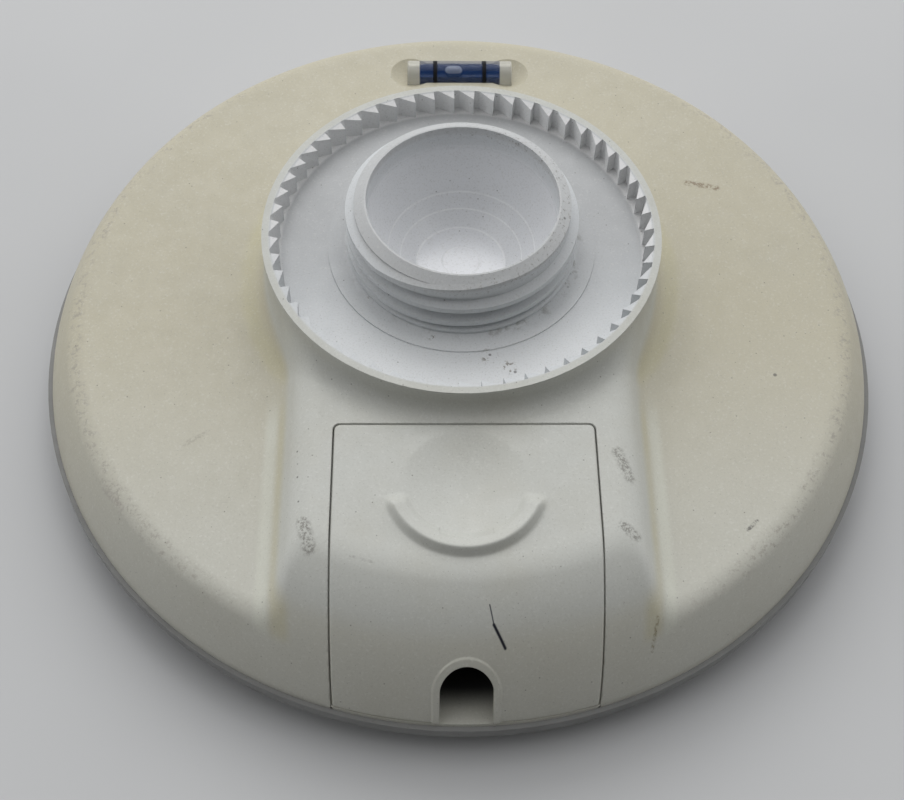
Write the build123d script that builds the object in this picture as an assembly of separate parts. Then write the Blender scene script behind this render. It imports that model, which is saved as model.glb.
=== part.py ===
"""Round outdoor point-to-point radio, 189 mm across, lying on its front face with its rear side up.

Millimetres, +Z towards the rear, -Y towards the cable exit, +X to the right when the rear is seen
with the cable exit nearest. The origin is the centre of the front face, on the surface it lies on.
"""
from build123d import *
import math
import os

# ---- front radome -------------------------------------------------------------------------------
RIM_RADIUS = 94.5              # the widest part, a plain band round the radome
BAND_HEIGHT = 2.9              # height of that band
FACE_DEPTH = 7.5               # how far the front face bulges below the band
FACE_FLAT_RADIUS = 30.0        # flat middle of the front face, on which the radio lies
RADOME_WALL = 2.2
SPIGOT_DEPTH = 1.2             # register of the housing inside the radome's band
SPIGOT_WALL = 2.0
SPIGOT_GAP = 0.15
SEAL_HEIGHT = 0.6

# ---- rear housing -------------------------------------------------------------------------------
SEAM_STEP = 1.0                # the housing stands this far inside the band
HOUSING_WALL = 2.4
FLANK_RADIUS = 33.7            # section radius of the convex flank
FLANK_LEAN = 11.5              # degrees from vertical at the seam
PLATEAU_RISE = 14.7            # flat rear face above the seam
PLATEAU_ROUND = 4.5            # rounding of its outer edge
TONGUE_RISE = 10.4             # raised tongue above the flat rear face
TONGUE_HALF_TOP = 33.9         # half widths of the tongue, corner to corner
TONGUE_HALF_FOOT = 39.9
TONGUE_FOOT_ROUND = 7.0
TONGUE_TOP_ROUND = 6.5
BEND_ROUND = 4.5               # rounding where the tongue turns down to the rim
PEDESTAL_COVE = 6.0            # cove between the ring's outer wall and the flat rear face
INNER_ROUND = 0.4              # least rounding inside the shell, where the outer one runs out

# ---- joint mount: ratchet ring and threaded socket -------------------------------------------------
RING_Y = 9.0                   # centre of the mount, towards the level
RING_RADIUS = 43.8
RING_RIM = 1.6                 # plain rim outside the teeth
TOOTH_DEPTH = 2.0
TOOTH_FALL = 0.75              # how far a tooth's top falls towards its tip
TOOTH_GAP = 1.2                # plain rim between one tooth's ramp and the next tooth
TOOTH_COUNT = 55
RING_FLOOR_RISE = 0.6          # ring floor above the tongue's top
RING_DEPTH = 5.55              # ring's top above its floor
BOSS_RADIUS = 29.6             # shallow disc round the collar's foot
BOSS_HEIGHT = 0.4
COLLAR_HEIGHT = 15.4           # mouth of the socket above the ring floor
SOCKET_RADIUS = 20.8           # ball socket, and the straight mouth above it
MOUTH_LENGTH = 3.0             # straight part of the mouth
SOCKET_DEPTH = 18.3            # flat bottom of the socket below that straight part
SOCKET_WALL = 2.6
LIP_BEVEL = 1.2                # height of the bevel outside the mouth
LIP_BEVEL_WIDTH = 2.2
COLLAR_COVE = 3.0
THREAD_DEPTH = 1.9
THREAD_PITCH = 4.3
THREAD_LAND = 1.3              # width of the thread's crest
THREAD_TURNS = 2.6
THREAD_END_ANGLE = -65.0       # where the thread runs out below the lip
THREAD_END_DROP = 2.3          # its crest below the mouth there
THREAD_FADE_ANGLE = -45.0      # side towards which its last turn is turned down eccentrically
BEAD_RADIUS = 0.9              # half-round bead at the collar's foot
BEAD_RISE = 1.3

# ---- port bay and its cover ------------------------------------------------------------------------
COVER_WIDTH = 54.0
COVER_TOP_Y = -38.0            # upper edge of the cover
COVER_WALL = 2.0
COVER_CORNER = 1.4
COVER_GAP = 0.3                # clearance all round the cover
SILL_HEIGHT = 0.8              # strip of housing left below the cover
BAY_HALF_WIDTH = 24.5
BAY_BACK_Y = -50.0             # face of the bay's back wall
BAY_WALL = 2.0
BAY_FLOOR_WALL = 1.6
RIDGE_RADIUS = 16.1            # crescent for the thumb
RIDGE_WIDTH = 3.0
RIDGE_HEIGHT = 1.4
RIDGE_HALF_ANGLE = 76.0
DISH_RADIUS = 12.0             # round hollow above the crescent
DISH_DEPTH = 0.9
THUMB_Y = -52.1
NOTCH_WIDTH = 10.6             # arched cable exit
NOTCH_HEIGHT = 14.2

# ---- spirit level ----------------------------------------------------------------------------------
LEVEL_INSET = 20.3             # vial's axis inside the rim
LEVEL_X = 0.7                  # the level sits this far off the middle
VIAL_LENGTH = 26.2
VIAL_RADIUS = 3.4
VIAL_ROUND = 0.4               # rounding of the vial's ends
VIAL_BORE_RADIUS = 2.6
VIAL_BORE_LENGTH = 20.1
VIAL_SINK = 0.5                # vial's axis below the flat rear face
VIAL_GAP = 0.05                # glue line round the vial
LEVEL_SCOOP_RADIUS = 9.0       # ball-shaped scoops at the vial's ends
LEVEL_SCOOP_DEPTH = 1.6
LEVEL_SCOOP_INSET = 1.0        # their centres inside the vial's ends
BUBBLE_LENGTH = 4.6
BUBBLE_RADIUS = 1.4
BUBBLE_OFFSET = -1.5           # rest position along the vial
BUBBLE_GAP = 0.06
BUBBLE_FILM = 0.1              # fluid left between the bubble's channel and the vial's bore
MARK_SPACING = 12.3
MARK_WIDTH = 1.0
MARK_HEIGHT = 0.1

# ---- antenna ---------------------------------------------------------------------------------------
REFLECTOR_RADIUS = 66.0
REFLECTOR_WALL = 0.8
REFLECTOR_CLEARANCE = 0.2      # behind it, to the port bay's floor
REFLECTOR_FLANGE = 2.0         # its rim, turned towards the front
PATCH_BOARD_RADIUS = 56.0
PATCH_BOARD_THICKNESS = 1.0
PATCH_BOARD_GAP = 2.6          # air gap between patch board and reflector
PATCH_SIZE = 17.0
PATCH_PITCH = 28.0
PATCH_ROWS = 4                 # patches each way, without those at the corners
PATCH_THICKNESS = 0.2
SPACER_RADIUS = 2.5
SPACER_RING = 52.0
SPACER_COUNT = 6
FEED_PIN_RADIUS = 0.65
FEED_BUSH_RADIUS = 2.0
FEED_SPACING = 17.0
FEED_Y = -10.0
FEED_FIT = 0.02

# ---- main board and what it carries ------------------------------------------------------------------
BOARD_WIDTH = 60.0
BOARD_LENGTH = 88.0
BOARD_THICKNESS = 1.6
BOARD_Z = 17.4                 # front side of the main board
BOARD_CORNER = 3.0
BOARD_GAP = 0.3                # to the bay's back wall
JACK_WIDTH = 16.0
JACK_HEIGHT = 13.4
JACK_DEPTH = 18.0
JACK_PROUD = 1.0               # jack's face in front of the bay's back wall
JACK_WALL = 0.8
JACK_FIT = 0.3                 # clearance in the bay's back wall
JACK_OPENING_WIDTH = 11.8
JACK_OPENING_HEIGHT = 8.2
JACK_OPENING_DEPTH = 13.0
CONTACT_COUNT = 8
CONTACT_PITCH = 1.02
CONTACT_WIDTH = 0.45
CONTACT_DROP = 1.6             # how far a contact hangs into the opening
CONTACT_HEEL = 1.0             # its upright end
CONTACT_LENGTH = 9.1
SHIELD_WALL = 0.3
SHIELD_HEIGHT = 3.0
SHIELD_CORNER = 1.0
RADIO_SHIELD = 28.0
CPU_SHIELD = 22.0
CHIP_HEIGHT = 1.2
CHIP_SIZE = 12.0
PAD_SIZE = 10.0
RADIO_X = -13.5
CPU_X = 14.5
CHIP_Y = -6.0
MAGNETICS_WIDTH = 16.0
MAGNETICS_DEPTH = 9.0
MAGNETICS_HEIGHT = 6.0
MAGNETICS_GAP = 2.0            # behind the jack
CAPACITOR_RADIUS = 3.15
CAPACITOR_HEIGHT = 5.4
CAPACITOR_COUNT = 3
CAPACITOR_SPACING = 8.0
CAPACITOR_X = -22.0
POWER_Y = 24.0
INDUCTOR_SIZE = 7.0
INDUCTOR_HEIGHT = 4.0
INDUCTOR_BEVEL = 1.0
INDUCTOR_X = 16.0
BUTTON_X = 14.5
BUTTON_RADIUS = 2.0
BUTTON_TRAVEL = 0.6
BUTTON_GAP = 0.08
BUTTON_FLANGE = 0.8
BUTTON_PROUD = 0.8             # button's face in front of the bay's back wall
SWITCH_SIZE = 6.0
SWITCH_DEPTH = 3.5
LED_X = -14.5
LED_RADIUS = 1.5
LED_COUNT = 2
LED_SPACING = 4.5
LED_LENGTH = 6.5
LED_PROUD = 0.5
LED_FIT = 0.1

# ---- screws ------------------------------------------------------------------------------------------
SCREW_RADIUS = 1.25
SCREW_HEAD_RADIUS = 2.5
SCREW_HEAD_HEIGHT = 1.6
SCREW_SLOT = 0.6               # width of each bar of the cross recess
SCREW_GRIP = 6.0               # thread length in its boss
SCREW_FIT = 0.02
PILLAR_RADIUS = 3.2
REFLECTOR_PILLAR_RING = 60.5
REFLECTOR_SCREW_ANGLES = (-20, 50, 130, 200)
BOARD_SCREW_INSET = 4.0

# ---- derived levels and places -------------------------------------------------------------------------
SEAM_Z = FACE_DEPTH + BAND_HEIGHT
SEAM_RADIUS = RIM_RADIUS - SEAM_STEP
PLATEAU_Z = SEAM_Z + PLATEAU_RISE
TONGUE_Z = PLATEAU_Z + TONGUE_RISE
RING_FLOOR_Z = TONGUE_Z + RING_FLOOR_RISE
RING_TOP_Z = RING_FLOOR_Z + RING_DEPTH
MOUTH_Z = RING_FLOOR_Z + COLLAR_HEIGHT
SOCKET_Z = MOUTH_Z - MOUTH_LENGTH
SOCKET_OUTER = SOCKET_RADIUS + SOCKET_WALL
VALLEY_RADIUS = RING_RADIUS - RING_RIM
TIP_RADIUS = VALLEY_RADIUS - TOOTH_DEPTH
SILL_Z = SEAM_Z + SILL_HEIGHT
BAY_FLOOR_Z = SILL_Z - BAY_FLOOR_WALL
REFLECTOR_TOP_Z = BAY_FLOOR_Z - REFLECTOR_CLEARANCE
REFLECTOR_Z = REFLECTOR_TOP_Z - REFLECTOR_WALL
BOARD_TOP_Z = BOARD_Z + BOARD_THICKNESS
BOARD_END_Y = BAY_BACK_Y + BAY_WALL + BOARD_GAP
JACK_FACE_Y = BAY_BACK_Y - JACK_PROUD
BUTTON_Z = BOARD_TOP_Z + SWITCH_SIZE / 2
VIAL_Z = PLATEAU_Z - VIAL_SINK
LEVEL_Y = RIM_RADIUS - LEVEL_INSET
PATCH_BOARD_Z = REFLECTOR_Z - PATCH_BOARD_GAP - PATCH_BOARD_THICKNESS
RADOME_INNER = RIM_RADIUS - RADOME_WALL
SEAL_TOP_Z = SEAM_Z - SPIGOT_DEPTH
SEAL_BOTTOM_Z = SEAL_TOP_Z - SEAL_HEIGHT

OUT = "parts"


def save(node, shape):
    """Write one named piece, or a group of separate identical solids, as its own file."""
    solids = shape.solids()
    piece = solids[0] if len(solids) == 1 else Compound(children=list(solids))
    export_step(piece, os.path.join(OUT, node + ".step"))


def block(x0, x1, y0, y1, z0, z1):
    """A box given by its limits."""
    return Pos((x0 + x1) / 2, (y0 + y1) / 2, (z0 + z1) / 2) * Box(x1 - x0, y1 - y0, z1 - z0)


def rod(x, y, z0, z1, radius):
    """An upright cylinder given by its ends."""
    return Pos(x, y, (z0 + z1) / 2) * Cylinder(radius, z1 - z0)


def spin(edges, y=0.0):
    """Turn a closed outline in the XZ plane round a vertical axis at the given Y."""
    face = make_face(Wire(edges).edges())
    return Pos(0, y, 0) * revolve(face, Axis.Z)


def outline(points):
    """Straight edges through (radius, height) points, closed."""
    ring = [Vector(r, 0, z) for r, z in points]
    return [Edge.make_line(a, b) for a, b in zip(ring, ring[1:] + ring[:1])]


def polar(ring, angle):
    return ring * math.cos(math.radians(angle)), ring * math.sin(math.radians(angle))


def flank_point(inset, height):
    """Radius of the convex flank at a height, for a surface moved inwards by the inset."""
    lean = math.radians(FLANK_LEAN)
    centre_r = SEAM_RADIUS - FLANK_RADIUS * math.cos(lean)
    centre_z = SEAM_Z - FLANK_RADIUS * math.sin(lean)
    radius = FLANK_RADIUS - inset
    return centre_r + math.sqrt(radius ** 2 - (height - centre_z) ** 2)


def dome(inset, top, rounding):
    """Body of revolution inside the flank, cut flat at a height, with a rounded upper edge."""
    middle = (SEAM_Z + top) / 2
    start = Vector(flank_point(inset, SEAM_Z), 0, SEAM_Z)
    halfway = Vector(flank_point(inset, middle), 0, middle)
    end = Vector(flank_point(inset, top), 0, top)
    edges = [Edge.make_three_point_arc(start, halfway, end)]
    edges.append(Edge.make_line(end, Vector(0, 0, top)))
    edges.append(Edge.make_line(Vector(0, 0, top), Vector(0, 0, SEAM_Z)))
    edges.append(Edge.make_line(Vector(0, 0, SEAM_Z), start))
    solid = spin(edges)
    if rounding > 0:
        solid = fillet(solid.edges().filter_by(GeomType.CIRCLE).sort_by(Axis.Z)[-1], rounding)
    return solid


def on_flank(edge, floor):
    """Whether an edge runs along the flank, at or above a height, outside the seam."""
    points = [edge.position_at(share) for share in (0, 0.25, 0.5, 0.75, 1)]
    return all(p.Z > floor - 0.01 and abs(math.hypot(p.X, p.Y) - flank_point(0, p.Z)) < 0.01
               for p in points)


def tongue(inset):
    """Raised tongue: a section with coved feet and round shoulders, run out to the flank."""
    top = TONGUE_Z - inset
    floor = PLATEAU_Z - inset
    slope = (TONGUE_HALF_FOOT - TONGUE_HALF_TOP) / TONGUE_RISE
    side = inset * math.sqrt(1 + slope ** 2)
    half_top = TONGUE_HALF_TOP - side + inset * slope
    half_foot = TONGUE_HALF_FOOT - side + inset * slope
    reach = half_foot + 2.5 * TONGUE_FOOT_ROUND
    with BuildSketch(Plane.XZ) as section:
        with BuildLine():
            Polyline((-reach, SEAM_Z), (-reach, floor), (-half_foot, floor), (-half_top, top),
                     (half_top, top), (half_foot, floor), (reach, floor), (reach, SEAM_Z), close=True)
        make_face()
        shoulders = section.vertices().filter_by(lambda v: abs(abs(v.X) - half_top) < 0.01)
        fillet(shoulders, max(TONGUE_TOP_ROUND - inset, INNER_ROUND))
        feet = section.vertices().filter_by(lambda v: abs(abs(v.X) - half_foot) < 0.01)
        fillet(feet, TONGUE_FOOT_ROUND + inset)
    length = SEAM_RADIUS + RING_Y
    bar = Pos(0, RING_Y, 0) * extrude(section.sketch, length) & dome(inset, top, 0)
    if inset > 0:
        return bar
    outer = [e for e in bar.edges() if on_flank(e, floor)]
    return fillet(outer, BEND_ROUND)


def pedestal(inset):
    """Round pedestal of the mount, with a cove down to the flat rear face."""
    radius = RING_RADIUS - inset
    floor = PLATEAU_Z - inset
    top = RING_FLOOR_Z - inset
    cove = PEDESTAL_COVE
    centre = Vector(radius + cove, 0, floor + cove)
    diagonal = cove * math.sqrt(0.5)
    halfway = Vector(centre.X - diagonal, 0, centre.Z - diagonal)
    foot = Vector(radius + cove, 0, floor)
    wall = Vector(radius, 0, floor + cove)
    edges = [Edge.make_three_point_arc(foot, halfway, wall)]
    edges.append(Edge.make_line(wall, Vector(radius, 0, top)))
    edges.append(Edge.make_line(Vector(radius, 0, top), Vector(0, 0, top)))
    edges.append(Edge.make_line(Vector(0, 0, top), Vector(0, 0, SEAM_Z)))
    edges.append(Edge.make_line(Vector(0, 0, SEAM_Z), Vector(radius + cove, 0, SEAM_Z)))
    edges.append(Edge.make_line(Vector(radius + cove, 0, SEAM_Z), foot))
    return spin(edges, RING_Y)


def envelope(inset):
    """Whole rear surface without the ring and the collar, moved inwards by the inset."""
    base = dome(inset, PLATEAU_Z - inset, max(PLATEAU_ROUND - inset, INNER_ROUND))
    return base + tongue(inset) + pedestal(inset)


def ratchet_ring():
    """Ring of ratchet teeth: each has a radial face, then ramps back to the rim anticlockwise."""
    step = 360 / TOOTH_COUNT
    gap = math.degrees(TOOTH_GAP / VALLEY_RADIUS)
    points = []
    for i in range(TOOTH_COUNT):
        points.append(polar(VALLEY_RADIUS, i * step))
        points.append(polar(TIP_RADIUS, i * step))
        points.append(polar(VALLEY_RADIUS, (i + 1) * step - gap))
    with BuildSketch() as plan:
        Circle(RING_RADIUS)
        with BuildLine():
            Polyline(*points, close=True)
        make_face(mode=Mode.SUBTRACT)
    ring = Pos(0, RING_Y, RING_FLOOR_Z) * extrude(plan.sketch, RING_DEPTH)
    reach = TIP_RADIUS - TOOTH_DEPTH
    low = RING_TOP_Z - TOOTH_FALL * (VALLEY_RADIUS - reach) / TOOTH_DEPTH
    fall = [(VALLEY_RADIUS, RING_TOP_Z), (reach, low), (reach, RING_TOP_Z)]
    return ring - spin(outline(fall), RING_Y)


def collar():
    """Upstanding collar round the socket's mouth, with its foot disc, cove and outer thread."""
    root = SOCKET_OUTER
    base = RING_FLOOR_Z
    boss_top = base + BOSS_HEIGHT
    cove_centre = Vector(root + COLLAR_COVE, 0, boss_top + COLLAR_COVE)
    diagonal = COLLAR_COVE * math.sqrt(0.5)
    halfway = Vector(cove_centre.X - diagonal, 0, cove_centre.Z - diagonal)
    bottom = Vector(0, 0, base - HOUSING_WALL)
    corner = [Vector(BOSS_RADIUS, 0, base - HOUSING_WALL), Vector(BOSS_RADIUS, 0, boss_top)]
    cove_foot = Vector(root + COLLAR_COVE, 0, boss_top)
    cove_top = Vector(root, 0, boss_top + COLLAR_COVE)
    lip = [Vector(root, 0, MOUTH_Z - LIP_BEVEL), Vector(root - LIP_BEVEL_WIDTH, 0, MOUTH_Z)]
    crown = Vector(0, 0, MOUTH_Z)
    edges = [Edge.make_line(bottom, corner[0]), Edge.make_line(corner[0], corner[1])]
    edges.append(Edge.make_line(corner[1], cove_foot))
    edges.append(Edge.make_three_point_arc(cove_foot, halfway, cove_top))
    edges.append(Edge.make_line(cove_top, lip[0]))
    edges.append(Edge.make_line(lip[0], lip[1]))
    edges.append(Edge.make_line(lip[1], crown))
    edges.append(Edge.make_line(crown, bottom))
    return spin(edges, RING_Y)


def thread():
    """Outer thread of the collar: one trapezoid run along a helix, with flat ends."""
    root = SOCKET_OUTER - THREAD_DEPTH / 4
    depth = SOCKET_OUTER + THREAD_DEPTH - root
    height = THREAD_PITCH * THREAD_TURNS
    foot = THREAD_LAND / 2 + THREAD_DEPTH * 0.6
    path = Helix(THREAD_PITCH, height, root)
    with BuildSketch(Plane.XZ) as tooth:
        with BuildLine():
            Polyline((root, -foot), (root + depth, -THREAD_LAND / 2), (root + depth, THREAD_LAND / 2),
                     (root, foot), close=True)
        make_face()
    run = sweep(tooth.sketch, path=path, is_frenet=True)
    turn = THREAD_END_ANGLE - 360 * THREAD_TURNS
    crest = SOCKET_OUTER + THREAD_DEPTH
    end = MOUTH_Z - THREAD_END_DROP
    run = Pos(0, RING_Y, end - height) * Rot(0, 0, turn) * run
    away = polar(-THREAD_DEPTH, THREAD_FADE_ANGLE)
    last = rod(0, RING_Y, end - THREAD_PITCH / 2, MOUTH_Z + THREAD_PITCH, 2 * crest)
    last -= rod(away[0], RING_Y + away[1], end - THREAD_PITCH, MOUTH_Z + 2 * THREAD_PITCH, crest)
    return run - last


def bead():
    """Half-round bead round the foot of the collar."""
    height = RING_FLOOR_Z + BEAD_RISE
    return Pos(0, RING_Y, height) * Torus(SOCKET_OUTER + THREAD_DEPTH - BEAD_RADIUS, BEAD_RADIUS)


def socket():
    """Hollow of the ball socket: a half ball with a flat bottom, below a straight mouth."""
    ball = Pos(0, RING_Y, SOCKET_Z) * Sphere(SOCKET_RADIUS)
    lower = ball & rod(0, RING_Y, SOCKET_Z - SOCKET_DEPTH, SOCKET_Z, 2 * SOCKET_RADIUS)
    return lower + rod(0, RING_Y, SOCKET_Z, MOUTH_Z + LIP_BEVEL, SOCKET_RADIUS)


def cover_plan(gap):
    """Upright prism over the cover's outline, inset by a gap: square at the rim, round above."""
    half = COVER_WIDTH / 2 - gap
    top = COVER_TOP_Y - gap
    low = -RIM_RADIUS
    height = MOUTH_Z - SILL_Z
    prism = block(-half, half, low, top, SILL_Z + gap, SILL_Z + height)
    corners = prism.edges().filter_by(Axis.Z).filter_by(lambda e: e.center().Y > low / 2)
    return fillet(corners, COVER_CORNER)


def reflector_places():
    return [polar(REFLECTOR_PILLAR_RING, a) for a in REFLECTOR_SCREW_ANGLES]


def board_places():
    x = BOARD_WIDTH / 2 - BOARD_SCREW_INSET
    low = BOARD_END_Y + BOARD_SCREW_INSET
    high = BOARD_END_Y + BOARD_LENGTH - BOARD_SCREW_INSET
    return [(-x, low), (x, low), (-x, high), (x, high)]


def screw(x, y, seat):
    """Pan-head screw driven from the front: its head below the seat, its thread above."""
    head = rod(x, y, seat - SCREW_HEAD_HEIGHT, seat, SCREW_HEAD_RADIUS)
    head = chamfer(head.edges().sort_by(Axis.Z)[0], SCREW_HEAD_HEIGHT / 4)
    recess = block(x - SCREW_RADIUS, x + SCREW_RADIUS, y - SCREW_SLOT / 2, y + SCREW_SLOT / 2,
                   seat - SCREW_HEAD_HEIGHT, seat - SCREW_HEAD_HEIGHT / 2)
    cross = Pos(x, y, 0) * Rot(0, 0, 90) * Pos(-x, -y, 0) * recess
    shank = rod(x, y, seat - SCREW_HEAD_HEIGHT / 2, seat + SCREW_GRIP, SCREW_RADIUS)
    return head + shank - recess - cross


def level_pocket():
    """Trough for the vial, with a ball-shaped scoop at each end."""
    half = VIAL_LENGTH / 2 + VIAL_GAP
    trough = along_x(LEVEL_X - half, LEVEL_X + half, LEVEL_Y, VIAL_Z, VIAL_RADIUS + VIAL_GAP)
    lift = PLATEAU_Z + LEVEL_SCOOP_RADIUS - LEVEL_SCOOP_DEPTH
    reach = half - LEVEL_SCOOP_INSET
    for side in (-1, 1):
        trough += Pos(LEVEL_X + side * reach, LEVEL_Y, lift) * Sphere(LEVEL_SCOOP_RADIUS)
    return trough


def housing_keepers():
    """What stands inside the housing's shell: socket bowl, port bay, level seat and pillars."""
    bowl = Pos(0, RING_Y, SOCKET_Z) * Sphere(SOCKET_OUTER)
    side = BAY_HALF_WIDTH + BAY_WALL
    bay = block(-side, side, -RIM_RADIUS, BAY_BACK_Y + BAY_WALL, BAY_FLOOR_Z, TONGUE_Z)
    reach = VIAL_LENGTH / 2 + LEVEL_SCOOP_RADIUS
    left, right = LEVEL_X - reach, LEVEL_X + reach
    depth = VIAL_RADIUS + VIAL_SINK + HOUSING_WALL
    seat = block(left, right, LEVEL_Y - depth, LEVEL_Y + depth, PLATEAU_Z - depth, PLATEAU_Z)
    pillars = [rod(x, y, REFLECTOR_TOP_Z, PLATEAU_Z, PILLAR_RADIUS) for x, y in reflector_places()]
    pillars += [rod(x, y, BOARD_TOP_Z, TONGUE_Z, PILLAR_RADIUS) for x, y in board_places()]
    return [bowl, bay, seat] + pillars


def spigot():
    """Register ring below the seam, inside the radome's band."""
    outer = RADOME_INNER - SPIGOT_GAP
    ring = rod(0, 0, SEAL_TOP_Z, SEAM_Z, outer) - rod(0, 0, SEAL_TOP_Z, SEAM_Z, outer - SPIGOT_WALL)
    return ring


def rear_housing():
    """One moulding: rear shell, ratchet ring, threaded socket, level seat and port bay."""
    shell = envelope(0) + ratchet_ring() + collar() + bead() + thread()
    hollow = envelope(HOUSING_WALL)
    for keeper in housing_keepers():
        hollow -= keeper
    shell -= hollow
    shell += spigot()
    below = rod(0, 0, REFLECTOR_TOP_Z, SEAM_Z, RADOME_INNER - SPIGOT_GAP - SPIGOT_WALL / 2)
    side = BAY_HALF_WIDTH + BAY_WALL
    floor = block(-side, side, -RIM_RADIUS, BAY_BACK_Y + BAY_WALL, BAY_FLOOR_Z, SEAM_Z)
    shell += floor & below
    for x, y in reflector_places():
        shell += rod(x, y, REFLECTOR_TOP_Z, SEAM_Z, PILLAR_RADIUS)
    shell -= socket()
    shell -= level_pocket()
    shell -= cover_plan(0) - envelope(COVER_WALL + COVER_GAP)
    shell -= block(-BAY_HALF_WIDTH, BAY_HALF_WIDTH, -RIM_RADIUS, BAY_BACK_Y, SILL_Z, MOUTH_Z)
    wall = (BAY_BACK_Y - BAY_WALL, BAY_BACK_Y + 2 * BAY_WALL)
    half = JACK_WIDTH / 2 + JACK_FIT
    shell -= block(-half, half, wall[0], wall[1], BOARD_TOP_Z - JACK_FIT,
                   BOARD_TOP_Z + JACK_HEIGHT + JACK_FIT)
    shell -= along_y(BUTTON_X, BUTTON_Z, wall[0], wall[1], BUTTON_RADIUS + BUTTON_GAP)
    for x in led_places():
        shell -= along_y(x, BOARD_TOP_Z + LED_RADIUS, wall[0], wall[1], LED_RADIUS + LED_FIT)
    hole = SCREW_RADIUS + SCREW_FIT
    for x, y in reflector_places():
        shell -= rod(x, y, REFLECTOR_TOP_Z, REFLECTOR_TOP_Z + SCREW_GRIP, hole)
    for x, y in board_places():
        shell -= rod(x, y, BOARD_TOP_Z, BOARD_TOP_Z + SCREW_GRIP, hole)
    return shell


def along_y(x, z, y0, y1, radius):
    """A cylinder along Y given by its ends."""
    return Pos(x, (y0 + y1) / 2, z) * Rot(90, 0, 0) * Cylinder(radius, y1 - y0)


def along_x(x0, x1, y, z, radius):
    """A cylinder along X given by its ends."""
    return Pos((x0 + x1) / 2, y, z) * Rot(0, 90, 0) * Cylinder(radius, x1 - x0)


def led_places():
    start = LED_X - LED_SPACING * (LED_COUNT - 1) / 2
    return [start + i * LED_SPACING for i in range(LED_COUNT)]


def thumb_ridge():
    """Crescent below the thumb hollow, round-ended, standing on the cover."""
    middle = RIDGE_RADIUS - RIDGE_WIDTH / 2
    arc = CenterArc((0, THUMB_Y), middle, -90 - RIDGE_HALF_ANGLE, 2 * RIDGE_HALF_ANGLE)
    plan = SlotArc(arc, RIDGE_WIDTH)
    ridge = Pos(0, 0, TONGUE_Z - COVER_WALL / 2) * extrude(plan, COVER_WALL / 2 + RIDGE_HEIGHT)
    top = ridge.edges().group_by(Axis.Z)[-1]
    return fillet(top, RIDGE_HEIGHT * 0.45)


def notch():
    """Arched prism of the cable exit, through the cover's lower edge."""
    half = NOTCH_WIDTH / 2
    with BuildSketch(Plane.XZ.offset(RIM_RADIUS)) as arch:
        with Locations((0, SEAM_Z + NOTCH_HEIGHT - half)):
            Circle(half)
        with Locations((0, SEAM_Z + (NOTCH_HEIGHT - half) / 2)):
            Rectangle(NOTCH_WIDTH, NOTCH_HEIGHT - half)
    return extrude(arch.sketch, -(RIM_RADIUS + BAY_BACK_Y) / 2)


def port_cover():
    """Cover of the port bay: follows the tongue's top and the flank, with a thumb grip."""
    plate = cover_plan(COVER_GAP) & (envelope(0) - envelope(COVER_WALL))
    plate += thumb_ridge()
    ball = (DISH_RADIUS ** 2 + DISH_DEPTH ** 2) / (2 * DISH_DEPTH)
    plate -= Pos(0, THUMB_Y, TONGUE_Z - DISH_DEPTH + ball) * Sphere(ball)
    return plate - notch()


def bow_radius():
    """Radius at which the front face sweeps up from its flat middle to the band."""
    span = RIM_RADIUS - FACE_FLAT_RADIUS
    return (span ** 2 + FACE_DEPTH ** 2) / (2 * FACE_DEPTH)


def bow(inset, start, end):
    """Swept part of the front face's section, moved inwards by an inset, between two radii."""
    outer = bow_radius()
    radius = outer - inset
    points = []
    for r in (start, (start + end) / 2, end):
        points.append(Vector(r, 0, outer - math.sqrt(radius ** 2 - (r - FACE_FLAT_RADIUS) ** 2)))
    return Edge.make_three_point_arc(*points)


def front_radome():
    """Shallow dished front cover with its plain outer band."""
    outer = bow_radius()
    inner = outer - RADOME_WALL
    reach = FACE_FLAT_RADIUS + math.sqrt(inner ** 2 - (outer - SEAL_BOTTOM_Z) ** 2)
    wall = [Vector(RIM_RADIUS, 0, FACE_DEPTH), Vector(RIM_RADIUS, 0, SEAM_Z),
            Vector(RADOME_INNER, 0, SEAM_Z), Vector(RADOME_INNER, 0, SEAL_BOTTOM_Z),
            Vector(reach, 0, SEAL_BOTTOM_Z)]
    middle = [Vector(FACE_FLAT_RADIUS, 0, RADOME_WALL), Vector(0, 0, RADOME_WALL),
              Vector(0, 0, 0), Vector(FACE_FLAT_RADIUS, 0, 0)]
    edges = [Edge.make_line(a, b) for a, b in zip(wall, wall[1:])]
    edges.append(bow(RADOME_WALL, reach, FACE_FLAT_RADIUS))
    edges += [Edge.make_line(a, b) for a, b in zip(middle, middle[1:])]
    edges.append(bow(0, FACE_FLAT_RADIUS, RIM_RADIUS))
    return spin(edges)


def rim_seal():
    outer = RADOME_INNER - SPIGOT_GAP
    ring = rod(0, 0, SEAL_BOTTOM_Z, SEAL_TOP_Z, outer)
    return ring - rod(0, 0, SEAL_BOTTOM_Z, SEAL_TOP_Z, outer - SPIGOT_WALL)


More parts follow.
